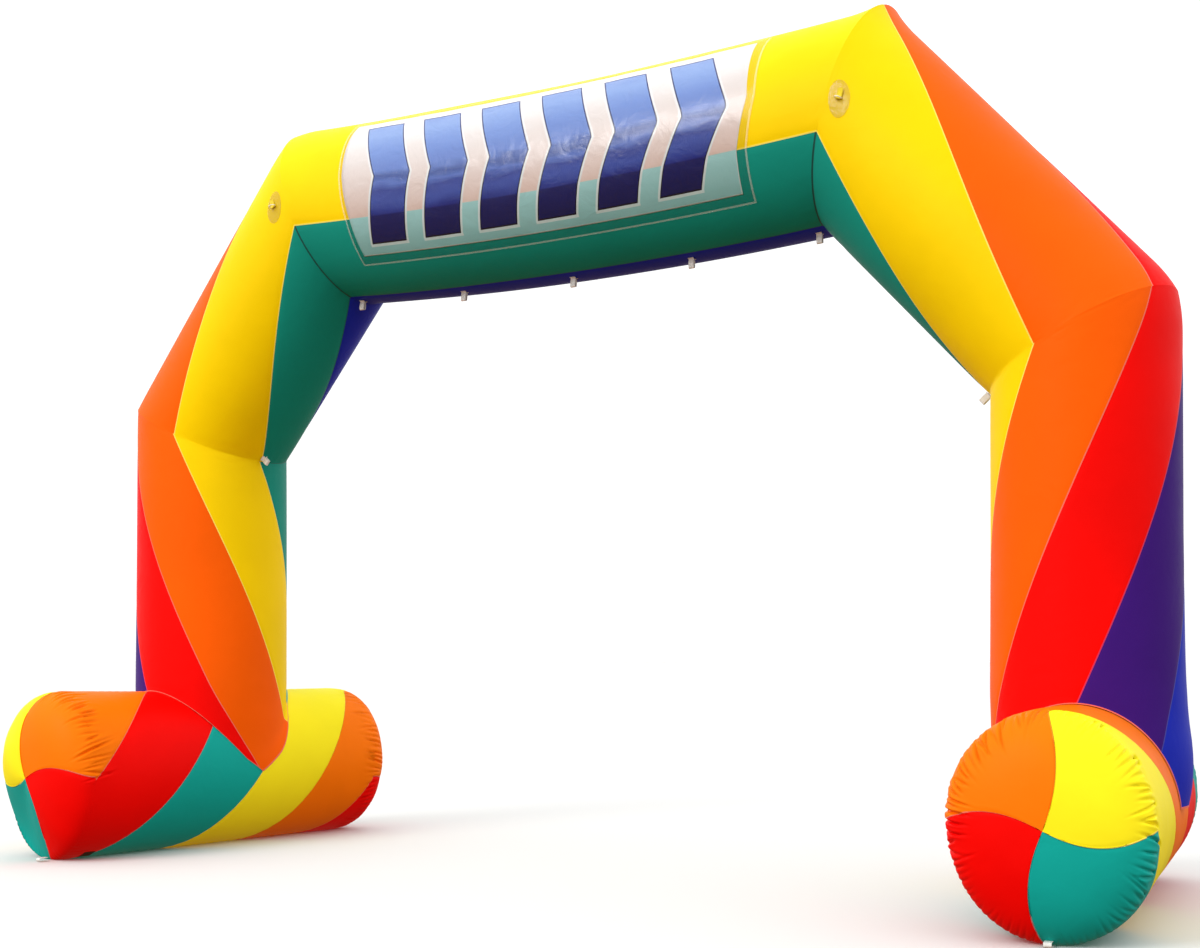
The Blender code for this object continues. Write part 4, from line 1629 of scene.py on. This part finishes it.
@dataclass
class BeamSheet:
    """A thin sheet that follows the front of the beam."""

    tube: StripedTube
    edge: SheetEdge
    lift: float
    thick: float

    def points(self, share: Array, degrees: Array, relief: Array) -> tuple[Array, Array]:
        """Points of the sheet.

        Args:
            share: Shares from the left edge to the right one, rows by columns.
            degrees: Angles down from the front, rows by columns.
            relief: Heights above the sheet's own lift, rows by columns.

        Returns:
            The points, and UV from 0 to 1 with 1 at the top.
        """
        angle = np.radians(degrees)
        beam = self.tube.span
        first, last = beam.start(angle)[..., 0], beam.end(angle)[..., 0]
        place = (self.edge.at(degrees, share) - first) / (last - first)
        points = beam.at(place, angle)
        axis = (beam.at(place, np.zeros_like(angle))
                + beam.at(place, np.full_like(angle, math.pi))) / 2
        out = points - axis
        out[..., 0] = 0.0
        height = self.lift + relief + self.tube.relief(place, angle)
        points = points + unit(out) * height[..., None]
        low, high = self.edge.degrees[0], self.edge.degrees[-1]
        return points, np.stack((share, 1 - (degrees - low) / (high - low)), axis=-1)
    def thicken(self, piece: Object) -> None:
        """Give the sheet its thickness, away from the beam.

        Args:
            piece: The sheet's object.
        """
        solid = solidify(piece, self.thick)
        bpy.context.view_layer.objects.active = piece
        with bpy.context.temp_override(object=piece, active_object=piece):
            bpy.ops.object.modifier_apply(modifier=solid.name)
        piece.data.shade_smooth()

    def flat_size(self) -> tuple[float, float]:
        """Size of the sheet's cut.

        Returns:
            Width and length in metres.
        """
        degrees = np.linspace(self.edge.degrees[0], self.edge.degrees[-1], 40)
        width = np.mean(self.edge.at(degrees, np.ones(40)) - self.edge.at(degrees, np.zeros(40)))
        girth = self.tube.span.at(np.full(40, 0.5), np.radians(degrees))
        return float(width), float(np.linalg.norm(np.diff(girth, axis=0), axis=-1).sum())


class Print(Enum):
    """Areas of the banner's print: name, and colours from the sheet's bottom, 0, to its top, 1."""

    # painted reflection in every ramp: each is lighter towards the top, where the cover mirrors the
    # bright sky, and the blue has wavy bands at that mirror's edge
    SHEET_HIGH = ("printed_vinyl_pale", (
        (0.25, "#E6CDBF"), (0.42, "#EBDAD2"), (0.62, "#F2EAE6"), (0.85, "#FBFAFA"),
        (1.0, "#FFFFFF")))
    SHEET_LOW = ("printed_vinyl_over_teal", ((0.0, "#8CC8C4"), (0.25, "#A6DCD9")))
    BAR_HIGH = ("printed_vinyl_blue", (
        (0.25, "#0E2080"), (0.34, "#2C46A8"), (0.39, "#1E3494"), (0.44, "#5472C6"),
        (0.48, "#34509E"), (0.53, "#6484D2"), (0.66, "#7698E0"), (0.82, "#88AAE8"),
        (1.0, "#6E90D8")))
    BAR_LOW = ("printed_vinyl_navy", ((0.0, "#000A4C"), (0.25, "#001060")))
    OUTLINE = ("printed_vinyl_outline", ((0.0, "#02051C"), (0.4, "#081040"), (1.0, "#2C3C86")))
    BORDER = ("printed_vinyl_white", (
        (0.0, "#C4E0DA"), (0.3, "#E8F0EE"), (0.6, "#FAFAFA"), (1.0, "#FFFFFF")))


class Area(IntEnum):
    """What a column or row of faces of the banner shows; the lower one wins where they cross."""

    SHEET = 0
    BORDER = 1
    OUTLINE = 2
    BAR = 3


ABOVE_LINE = (Print.SHEET_HIGH, Print.BORDER, Print.OUTLINE, Print.BAR_HIGH)  # by area
BELOW_LINE = (Print.SHEET_LOW, Print.BORDER, Print.OUTLINE, Print.BAR_LOW)


def laid_out(bands: Sequence[tuple[float, int, Area]]) -> tuple[Array, Array]:
    """Lay out the columns or rows of a design in bands.

    Args:
        bands: Where each ends, how many faces it takes and what it shows.

    Returns:
        Places from 0 to 1, and one area per column or row of faces.
    """
    places, areas = [0.0], []
    for end, count, area in bands:
        places.extend(np.linspace(places[-1], end, count + 1)[1:].tolist())
        areas.extend([area] * count)
    return np.array(places), np.array(areas)


@dataclass
class Banner(BeamSheet):
    """The banner: a white sheet printed with a row of plain blue chevrons."""

    chevrons: int = 6
    margin: float = 0.040  # of the outer bars from the sheet's sides, as shares of its width
    rim: float = 0.075  # of sheet above and below the bars, as a share of its height
    bar: float = 0.100
    outline: float = 0.0030  # widths of the lines round each bar, as shares of the width
    border: float = 0.0052
    cut: float = 0.0022  # width of the sheet's bright cut edge, as a share of its width
    point: float = 0.050  # how far the bars' middles run ahead of their ends
    shape: float = 3.4  # width of the sheet over its height
    ripple: float = 0.0006  # of its soft waves
    ripple_size: float = 0.30
    ripple_aspect: float = 1.5

    def columns(self) -> tuple[Array, Array]:
        """Columns of the printed design.

        Returns:
            Their places from the left, and one area per column of faces.
        """
        pitch = (1 - 2 * self.margin - self.bar - self.point) / (self.chevrons - 1)
        bands = []
        for k in range(self.chevrons):
            low = self.margin + k * pitch
            bands += [(low - self.border, 6, Area.SHEET), (low, 1, Area.BORDER),
                      (low + self.outline, 1, Area.OUTLINE),
                      (low + self.bar - self.outline, 9, Area.BAR),
                      (low + self.bar, 1, Area.OUTLINE),
                      (low + self.bar + self.border, 1, Area.BORDER)]
        return laid_out(bands + [(1.0 - self.cut, 7, Area.SHEET), (1.0, 1, Area.SHEET)])

    def rows(self) -> tuple[Array, Array]:
        """Rows of the printed design.

        Returns:
            Their places from the top, and one area per row of faces.
        """
        first, last = self.edge.degrees[0], self.edge.degrees[-1]
        line = (COLOUR_LINE - first) / (last - first)
        border, outline = self.rim - self.border * self.shape, self.rim + self.outline * self.shape
        return laid_out((
            (border, 4, Area.SHEET), (self.rim, 1, Area.BORDER), (outline, 1, Area.OUTLINE),
            (0.5, 20, Area.BAR), (line, 10, Area.BAR), (1 - outline, 8, Area.BAR),
            (1 - self.rim, 1, Area.OUTLINE), (1 - border, 1, Area.BORDER),
            (1 - self.cut * self.shape, 4, Area.SHEET), (1.0, 1, Area.SHEET)))

    def build(self, finishes: Finishes) -> None:
        """Make the banner and let it stand for its CAD node.

        Args:
            finishes: The scene's materials.
        """
        columns, column_areas = self.columns()
        rows, row_areas = self.rows()
        bars = np.clip((rows - self.rim) / (1 - 2 * self.rim), 0, 1)
        ahead = self.point * (1 - np.abs(2 * bars - 1))
        low, high = self.margin - self.border, 1 - self.margin - self.point + self.border
        weight = np.interp(columns, (0.0, low, high, 1.0), (0.0, 1.0, 1.0, 0.0))
        share = columns[None, :] + ahead[:, None] * weight[None, :]
        first, last = self.edge.degrees[0], self.edge.degrees[-1]
        degrees = np.repeat((first + (last - first) * rows)[:, None], len(columns), axis=1)
        waves = Ripples(31, self.ripple_size, self.ripple_aspect)
        width, per_degree = 2.4, 0.0075  # metres of sheet
        relief = self.ripple * (1 + waves.at(share * width, degrees * per_degree))
        points, uv = self.points(share, degrees, relief)
        parts = list(Print)
        above, below = (np.array([parts.index(part) for part in group])
                        for group in (ABOVE_LINE, BELOW_LINE))
        area = np.minimum(row_areas[:, None], column_areas[None, :])
        middles = (degrees[1:, :1] + degrees[:-1, :1]) / 2
        slots = np.where(middles > COLOUR_LINE, below[area], above[area])
        slots[-1, :] = slots[:, -1] = parts.index(Print.BORDER)
        materials = [finishes.get(PrintedVinyl(*part.value)) for part in Print]
        piece = Grid(points, uv, slots).build("printed_banner", materials)
        self.thicken(piece)
        self.flat_size()
        keep(piece, "printed_banner_vinyl", "banner")


@dataclass
class ClearCover(BeamSheet):
    """The clear pocket over the banner, with a welded hem on each edge and a few creases."""

    hem: float = 0.010
    rows: int = 70
    columns: int = 200
    taut: float = 0.06  # how far from its edges it lies against the banner
    gap: float = 0.0016  # mean height of its loose part
    wave: float = 0.0011
    wave_size: float = 0.16
    fold: float = 0.0010
    fold_size: float = 0.22
    fold_slant: float = 0.3
    bubble: float = 0.0016  # of the wrinkles near its right edge, and where they lie
    bubble_size: float = 0.045
    bubble_place: tuple[float, float] = (0.97, 0.22)
    bubble_spread: float = 0.02  # in square metres

    def build(self, finishes: Finishes) -> None:
        """Make the cover and let it stand for its CAD node.

        Args:
            finishes: The scene's materials.
        """
        width, length = self.flat_size()
        across, down = self.hem / width, self.hem / length
        share = np.concatenate(((0.0,), np.linspace(across, 1 - across, self.columns), (1.0,)))
        rows = np.concatenate(((0.0,), np.linspace(down, 1 - down, self.rows), (1.0,)))
        first, last = self.edge.degrees[0], self.edge.degrees[-1]
        share, rows = np.meshgrid(share, rows)
        degrees = first + (last - first) * rows
        edge = np.minimum(np.minimum(share, 1 - share) * width, np.minimum(rows, 1 - rows) * length)
        loose = np.clip(edge / self.taut, 0, 1)
        waves = Ripples(51, self.wave_size, 2.5).at(share * width, rows * length)
        folds = folded(Ripples(52, self.fold_size, 3).at(
            share * width + rows * self.fold_slant, rows * length), 0.8)
        right, low = self.bubble_place
        off = ((share - right) * width) ** 2 + ((rows - low) * length) ** 2
        bubbles = Ripples(53, self.bubble_size).at(share * width, rows * length)
        relief = loose * (self.gap + self.wave * waves - self.fold * folds)
        relief = relief + self.bubble * np.exp(-off / self.bubble_spread) * bubbles
        points, uv = self.points(share, degrees, np.maximum(relief, 0.0))
        slots = np.zeros((share.shape[0] - 1, share.shape[1] - 1), dtype=int)
        slots[[0, -1], :] = 1
        slots[:, [0, -1]] = 1
        materials = [finishes.get(COVER_FILM), finishes.get(COVER_HEM)]
        piece = Grid(points, uv, slots).build("clear_banner_cover", materials)
        self.thicken(piece)
        self.flat_size()
        keep(piece, "clear_vinyl", "banner_cover")


# ---- webbing ----
@dataclass(frozen=True)
class Local:
    """A small frame on a surface: along the webbing's path, out of the surface, and its width."""

    origin: Array
    across: Array
    out: Array
    width: Array

    def place(self, across: Array, out: Array, width: Array) -> Array:
        """Points at distances along the path's plane, out of the surface and along the width."""
        return (self.origin + self.across * across[..., None] + self.out * out[..., None]
                + self.width * width[..., None])


@dataclass
class Strap:
    """A strap of webbing that follows a path of (across, out) places."""

    name: str
    local: Local
    path: Sequence[tuple[float, float]]
    width: float
    thick: float = 0.0018
    step: float = 0.0018
    ribs: int = 13  # points across each face, every other one of them raised
    rib: float = 0.00012

    def profile(self) -> list[tuple[float, float]]:
        """The strap's cross-section, as places along its width and height."""
        half, edge = self.width / 2, self.thick * 0.5
        flat = np.linspace(-half + edge, half - edge, self.ribs)
        rib = self.rib * np.cos(np.arange(self.ribs) * math.pi)
        return ([(w, edge + r) for w, r in zip(flat, rib)]
                + [(half, edge * 0.5), (half, -edge * 0.5)]
                + [(w, -edge - r) for w, r in zip(flat[::-1], rib)]
                + [(-half, -edge * 0.5), (-half, edge * 0.5)])

    def build(self, material: Material) -> Object:
        """Make the strap.

        Args:
            material: Its webbing.

        Returns:
            The new object.
        """
        raw = np.array(self.path)
        run = np.concatenate(((0.0,), np.cumsum(np.linalg.norm(np.diff(raw, axis=0), axis=1))))
        along = np.linspace(0, run[-1], max(8, int(run[-1] / self.step)))
        line = np.stack([np.interp(along, run, raw[:, k]) for k in (0, 1)], axis=-1)
        for _ in range(SMOOTHINGS):
            line[1:-1] = (line[:-2] + 2 * line[1:-1] + line[2:]) / 4
        tangent = unit(np.gradient(line, axis=0))
        side = np.stack((-tangent[:, 1], tangent[:, 0]), axis=-1)
        wide, high = np.array(self.profile()).T
        place = line[:, None, :] + side[:, None, :] * high[None, :, None]
        points = self.local.place(place[..., 0], place[..., 1],
                                  np.broadcast_to(wide, place.shape[:2]))
        around = np.concatenate((wide, wide[:1]))
        uv = np.stack(np.broadcast_arrays(around[None, :], along[:, None]), axis=-1)
        piece = Grid(points, uv, np.zeros(len(wide), dtype=int), True).build(self.name, [material])
        rework(piece.data, close_ends)
        return piece


def surface_frame(span: Span, place: float, angle: float, lift: float = 0.0) -> Local:
    """A frame on a tube, with its width along the tube.

    Args:
        span: The tube.
        place: Place along it, from 0 to 1.
        angle: Angle round it.
        lift: Height of the frame above the surface.

    Returns:
        The frame.
    """
    def at(p: float, a: float) -> Array:
        """One point of the tube."""
        return span.at(np.array([p]), np.array([a]))[0]

    nudge = 0.004
    along = unit(at(place + nudge, angle) - at(place - nudge, angle))
    around = unit(at(place, angle + nudge) - at(place, angle - nudge))
    out = unit(np.cross(along, around))
    middle = (at(place, 0.0) + at(place, math.pi)) / 2
    here = at(place, angle)
    if float(out @ (here - middle)) < 0:
        out = -out
    return Local(here + out * lift, around, out, along)


SMOOTHINGS = 3  # rounds that soften the bends of a strap
LOOP_SIDE = math.radians(85.5)  # the loops sit on the side that faces the passage
LOOP_FIRST_X = -1.455
LOOP_LAST_X = 1.293
LOOP_COUNT = 5
LOOP_WIDTH = 0.030
KNEE_LOOP_UP = 0.024  # of a knee's loop above the mitre


@dataclass
class HangingLoops:
    """The row of webbing loops under the beam, and one in each knee's inner corner."""

    skeleton: Skeleton
    drop: float = 0.050
    radius: float = 0.0075
    tail: float = 0.012
    start: float = 0.0012  # height of the sewn tails' middle above the cloth
    bend: float = 0.004

    def path(self) -> list[tuple[float, float]]:
        """A loop's path: a sewn tail, down, round the end, up again and the other tail.

        Returns:
            Places across and out of the surface.
        """
        start, neck = self.start, 0.6 * self.radius
        down = [(-neck - self.tail, start), (-neck - self.bend, start),
                (-neck, start + self.bend), (-self.radius, 0.45 * self.drop),
                (-self.radius, self.drop - self.radius)]
        turns = np.linspace(0, math.pi, 13)[1:-1]
        arc = [(-self.radius * math.cos(t), self.drop - self.radius + self.radius * math.sin(t))
               for t in turns]
        return down + arc + [(-across, out) for across, out in reversed(down)]

    def build(self, finishes: Finishes) -> None:
        """Make the loops and let them stand for their CAD nodes.

        Args:
            finishes: The scene's materials.
        """
        white = finishes.get(WHITE_WEBBING)
        beam = self.skeleton.beam
        angle = np.array([LOOP_SIDE])
        first, last = beam.start(angle)[0, 0], beam.end(angle)[0, 0]
        spots = []
        for k in range(LOOP_COUNT):
            x = LOOP_FIRST_X + k * (LOOP_LAST_X - LOOP_FIRST_X) / (LOOP_COUNT - 1)
            spots.append((f"beam_loop_{k + 1}", beam, (x - first) / (last - first)))
        for side, diagonal in self.skeleton.diagonals.items():
            place = KNEE_LOOP_UP / float(diagonal.lengths(angle)[0])
            spots.append(("knee_loop_" + side.word, diagonal, place))
        for name, span, place in spots:
            local = surface_frame(span, place, LOOP_SIDE)
            loop = Strap("woven_" + name, local, self.path(), LOOP_WIDTH)
            keep(loop.build(white), "white_webbing", name)


@dataclass
class RingAnchor:
    """A round clear patch with a folded strap that holds a D ring."""

    side: Side
    span: Span
    place: float
    turn: float
    seed: int
    degrees: float = -4.5
    radius: float = 0.064
    rings: int = 26
    spokes: int = 90
    film: float = 0.0009  # thickness of the patch
    crease_size: float = 0.022
    rim: float = 0.012  # flat weld round the patch
    wire: float = 0.0024  # half the ring's thickness
    bar_half: float = 0.0165  # half the length of the ring's bar
    depth: float = 0.026  # how far the ring's arc stands out from its bar
    strap_above: float = 0.0030  # height of the strap's frame above the cloth
    strap_width: float = 0.025
    strap_long: float = 0.046  # from the ring's bar to the strap's tails
    strap_thick: float = 0.0018
    gap: float = 0.0003  # between the strap's layers, and to the wire

    def build(self, finishes: Finishes) -> None:
        """Make the patch, strap and ring and let them stand for their CAD nodes.

        Args:
            finishes: The scene's materials.
        """
        word = self.side.word
        self.patch(finishes, word)
        angle = math.radians(self.degrees)
        centre = surface_frame(self.span, self.place, angle, self.strap_above)
        out = centre.out
        up = unit(UP - out * out[2])
        right = np.cross(up, out)
        tilt = math.radians(self.turn)
        run = unit(up * math.sin(tilt) + right * math.cos(tilt))
        local = Local(centre.origin, run, out, np.cross(run, out))
        turn_r = self.wire + self.gap + self.strap_thick / 2
        lower = self.gap + self.strap_thick / 2
        bar_out = lower + turn_r
        upper = lower + self.strap_thick + self.gap
        path = [(self.strap_long, lower), (0.012, lower), (0.0, lower)]
        path += [(-turn_r * math.sin(t), bar_out - turn_r * math.cos(t))
                 for t in np.linspace(0, math.pi, 12)[1:-1]]
        path += [(0.0, bar_out + turn_r), (0.004, bar_out + turn_r - 0.0008),
                 (0.014, upper + 0.0004), (0.020, upper), (self.strap_long, upper)]
        strap = Strap("woven_anchor_strap_" + word, local, path, self.strap_width, step=0.0009)
        keep(strap.build(finishes.get(YELLOW_WEBBING)), "coated_fabric_yellow",
             "anchor_strap_" + word)
        self.ring(finishes, word, local, bar_out)

    def patch(self, finishes: Finishes, word: str) -> None:
        """Make the round patch.

        Args:
            finishes: The scene's materials.
            word: The side's word in node names.
        """
        radius = np.linspace(0.0, self.radius, self.rings)[:, None]
        turn = (np.arange(self.spokes) * TURN / self.spokes)[None, :]
        middle = math.radians(self.degrees)
        length = float(self.span.lengths(np.array([0.0]))[0])
        points = self.span.at(self.place + radius * np.sin(turn) / length,
                              middle + radius * np.cos(turn) / SHOULDER_R)
        out = surface_frame(self.span, self.place, middle).out
        crease = Ripples(self.seed, self.crease_size, 2.0)
        wrinkle = crease.at(radius * np.cos(turn), radius * np.sin(turn))
        spoke = Ripples(63, 0.55).at(turn + 0 * radius, 0 * turn + radius)
        fade = np.clip((self.radius - radius) / self.rim, 0, 1)
        lift = 0.0010 + fade * (0.0006 + 0.0006 * wrinkle + 0.0004 * spoke)
        points = points + out * np.maximum(lift, 0.0004)[..., None]
        across = np.concatenate((turn, turn[:, :1] + TURN), axis=1)
        uv = np.stack((radius * np.cos(across), radius * np.sin(across)), axis=-1)
        piece = Grid(points, uv, np.zeros(self.spokes, dtype=int), True).build(
            "clear_anchor_patch_" + word, [finishes.get(PATCH_FILM)])
        rework(piece.data, close_tip)
        solidify(piece, self.film)
        keep(piece, "clear_vinyl", "anchor_patch_" + word)

    def ring(self, finishes: Finishes, word: str, local: Local, bar_out: float) -> None:
        """Make the D ring.

        Args:
            finishes: The scene's materials.
            word: The side's word in node names.
            local: Frame of the strap.
            bar_out: Height of the ring's bar above the patch.
        """
        turns = np.linspace(0, math.pi, 25)
        bar = np.linspace(-self.bar_half, self.bar_half, 13)[1:-1]
        along = np.concatenate((self.bar_half * np.cos(turns), bar))
        out = np.concatenate((self.depth * np.sin(turns), np.zeros(len(bar))))
        line = local.place(np.zeros_like(along), bar_out + out, along)
        curve = bpy.data.curves.new("ring_line", "CURVE")
        curve.dimensions = "3D"
        spline = curve.splines.new("POLY")
        spline.points.add(len(line) - 1)
        weighted = np.concatenate((line, np.ones((len(line), 1))), axis=1)
        spline.points.foreach_set("co", weighted.ravel())
        spline.use_cyclic_u = True
        curve.bevel_depth = self.wire
        curve.bevel_resolution = 5
        curve.materials.append(finishes.get(RING_NYLON))
        maker = place_object("ring_maker", curve)
        mesh = bpy.data.meshes.new_from_object(maker.evaluated_get(
            bpy.context.evaluated_depsgraph_get()))
        bpy.data.objects.remove(maker, do_unlink=True)
        mesh.shade_smooth()
        keep(place_object("moulded_anchor_ring_" + word, mesh), "white_webbing",
             "anchor_ring_" + word)


# ---- what lies on the ground ----
class GroundPieces:
    """The webbing loops under the front caps, and dark sheets beside the tubes' flats: painted
    shade where the tubes meet the ground.
    """

    def build(self, finishes: Finishes) -> None:
        """Give the CAD nodes their materials.

        Args:
            finishes: The scene's materials.
        """
        white, dark = finishes.get(WHITE_WEBBING), finishes.get(GROUND_SHADE_SHEET)
        for side in Side:
            for node, material in (("ground_loop_", white), ("ground_patch_", dark)):
                item = bpy.data.objects[node + side.word]
                item.material_slots[0].material = material
                LOG.info("%s: material %s", item.name, material.name)


# ---- studio ----
PICTURE_WIDTH = 1200.0  # pixels, as are the next two
FOCAL_PIXELS = 1586.309
CENTRE_PIXEL = 765.099  # where the view's centre line falls
SENSOR = 36.0  # millimetres
# heights on the sky, from 0 straight down through 0.5 at the horizon, and their linear light
SKY = ((0.0, (0.13, 0.08, 0.055)), (0.44, (0.23, 0.135, 0.10)), (0.499, (0.56, 0.56, 0.56)),
       (1.0, (0.80, 0.80, 0.80)))


@dataclass
class Studio:
    """Pale floor, soft light and the camera."""

    camera_place: tuple[float, float, float] = (4.3736, -6.5956, 1.0376)
    camera_rise: float = math.radians(4.414)
    camera_turn: float = math.radians(26.985)
    camera_shift: float = 0.05  # of the picture, in widths
    far: float = 900.0  # where the camera's view ends
    floor_half: float = 250.0
    floor_under: float = 0.001  # gap under the arch, so that the two don't flicker
    sky_strength: float = 1.9
    key_place: tuple[float, float, float] = (-9.0, -23.0, 17.0)
    key_size: float = 13.0
    key_power: float = 3200.0  # watts
    aim: tuple[float, float, float] = (0.0, 0.0, 2.0)  # middle of the arch

    def build(self, finishes: Finishes) -> None:
        """Make the floor, the lights and the camera.

        Args:
            finishes: The scene's materials.
        """
        self.floor(finishes)
        self.sky()
        self.key_lamp()
        self.camera()

    def floor(self, finishes: Finishes) -> None:
        """Make the floor.

        Args:
            finishes: The scene's materials.
        """
        half = self.floor_half
        mesh = bpy.data.meshes.new("floor")
        corners = [(-half, -half), (half, -half), (half, half), (-half, half)]
        mesh.from_pydata([(x, y, -self.floor_under) for x, y in corners], [], [(0, 1, 2, 3)])
        mesh.materials.append(finishes.get(FLOOR_PAPER))
        floor = place_object("floor", mesh)
        floor.visible_diffuse = False  # a white floor would light every underside
        floor.visible_glossy = False

    def sky(self) -> None:
        """Make a sky: bright overhead, dimmer at the horizon, and dark and warm below it."""
        nodes = Nodes(bpy.data.worlds.new("studio"), "Background")
        place = nodes.add("ShaderNodeTexCoord")
        split = nodes.add("ShaderNodeSeparateXYZ", {0: place.outputs["Generated"]})
        height = nodes.add("ShaderNodeMapRange", {"Value": split.outputs["Z"], "From Min": -1.0})
        ramp = nodes.add("ShaderNodeValToRGB", {"Fac": height.outputs["Result"]})
        set_stops(ramp.color_ramp, [(place, (*level, 1.0)) for place, level in SKY])
        nodes.link(nodes.shader, {"Color": ramp.outputs["Color"], "Strength": self.sky_strength})
        bpy.context.scene.world = nodes.owner

    def key_lamp(self) -> None:
        """Make the round lamp that points at the middle of the arch."""
        data = bpy.data.lights.new("key", "AREA")
        data.shape = "DISK"
        data.size = self.key_size
        data.energy = self.key_power
        lamp = place_object("key", data)
        lamp.location = self.key_place
        lamp.rotation_mode = "QUATERNION"
        aim = Vector(self.aim) - Vector(self.key_place)
        lamp.rotation_quaternion = aim.to_track_quat("-Z", "Y")

    def camera(self) -> None:
        """Make the camera."""
        data = bpy.data.cameras.new("camera")
        data.sensor_fit = "HORIZONTAL"
        data.sensor_width = SENSOR
        data.lens = FOCAL_PIXELS / PICTURE_WIDTH * SENSOR
        data.shift_x = (PICTURE_WIDTH / 2 - CENTRE_PIXEL) / PICTURE_WIDTH
        data.shift_y = self.camera_shift
        data.clip_end = self.far
        camera = place_object("camera", data)
        camera.location = self.camera_place
        camera.rotation_euler = (math.pi / 2 + self.camera_rise, 0.0, self.camera_turn)
        bpy.context.scene.camera = camera
        bpy.context.scene.view_settings.view_transform = "Standard"


def main() -> None:
    """Build the whole scene."""
    logging.basicConfig(level=logging.INFO, format="%(name)s: %(message)s")
    finishes = Finishes()
    skeleton = Skeleton()
    Studio().build(finishes)
    beam = StripedTube("striped_beam", skeleton.beam, SHOULDER_EDGES, SHOULDER_EDGES, rows=190,
                       seed=300)
    keep(beam.build(finishes), "coated_fabric_yellow", "beam")
    for k, side in enumerate(Side):
        word = side.word
        diagonal = StripedTube("striped_diagonal_" + word, skeleton.diagonals[side], KNEE_EDGES,
                               SHOULDER_EDGES, rows=110, seed=400 + 40 * k, bows=DIAGONAL_BOWS)
        keep(diagonal.build(finishes), "coated_fabric_orange", "diagonal_" + word)
        leg = StripedLeg("striped_leg_" + word, skeleton.legs[side], LEG_EDGES, LEG_EDGES,
                         rows=120, seed=500 + 40 * k, side=side)
        keep(leg.build(finishes), "coated_fabric_orange", "leg_" + word)
        BaseTube(side, seed=600 + 40 * k).build(finishes)
        EndCap(side, front=True, seed=700 + 40 * k).build(finishes)
        EndCap(side, front=False, seed=720 + 40 * k).build(finishes)
    Banner(beam, BANNER_EDGE, lift=0.0008, thick=0.0012).build(finishes)
    ClearCover(beam, COVER_EDGE, lift=0.0042, thick=0.0008).build(finishes)
    HangingLoops(skeleton).build(finishes)
    for side, place, turn, seed in ((Side.LEFT, 0.937, 120.0, 61), (Side.RIGHT, 0.945, 75.0, 67)):
        RingAnchor(side, skeleton.diagonals[side], place, turn, seed).build(finishes)
    GroundPieces().build(finishes)


if __name__ == "__main__":
    main()
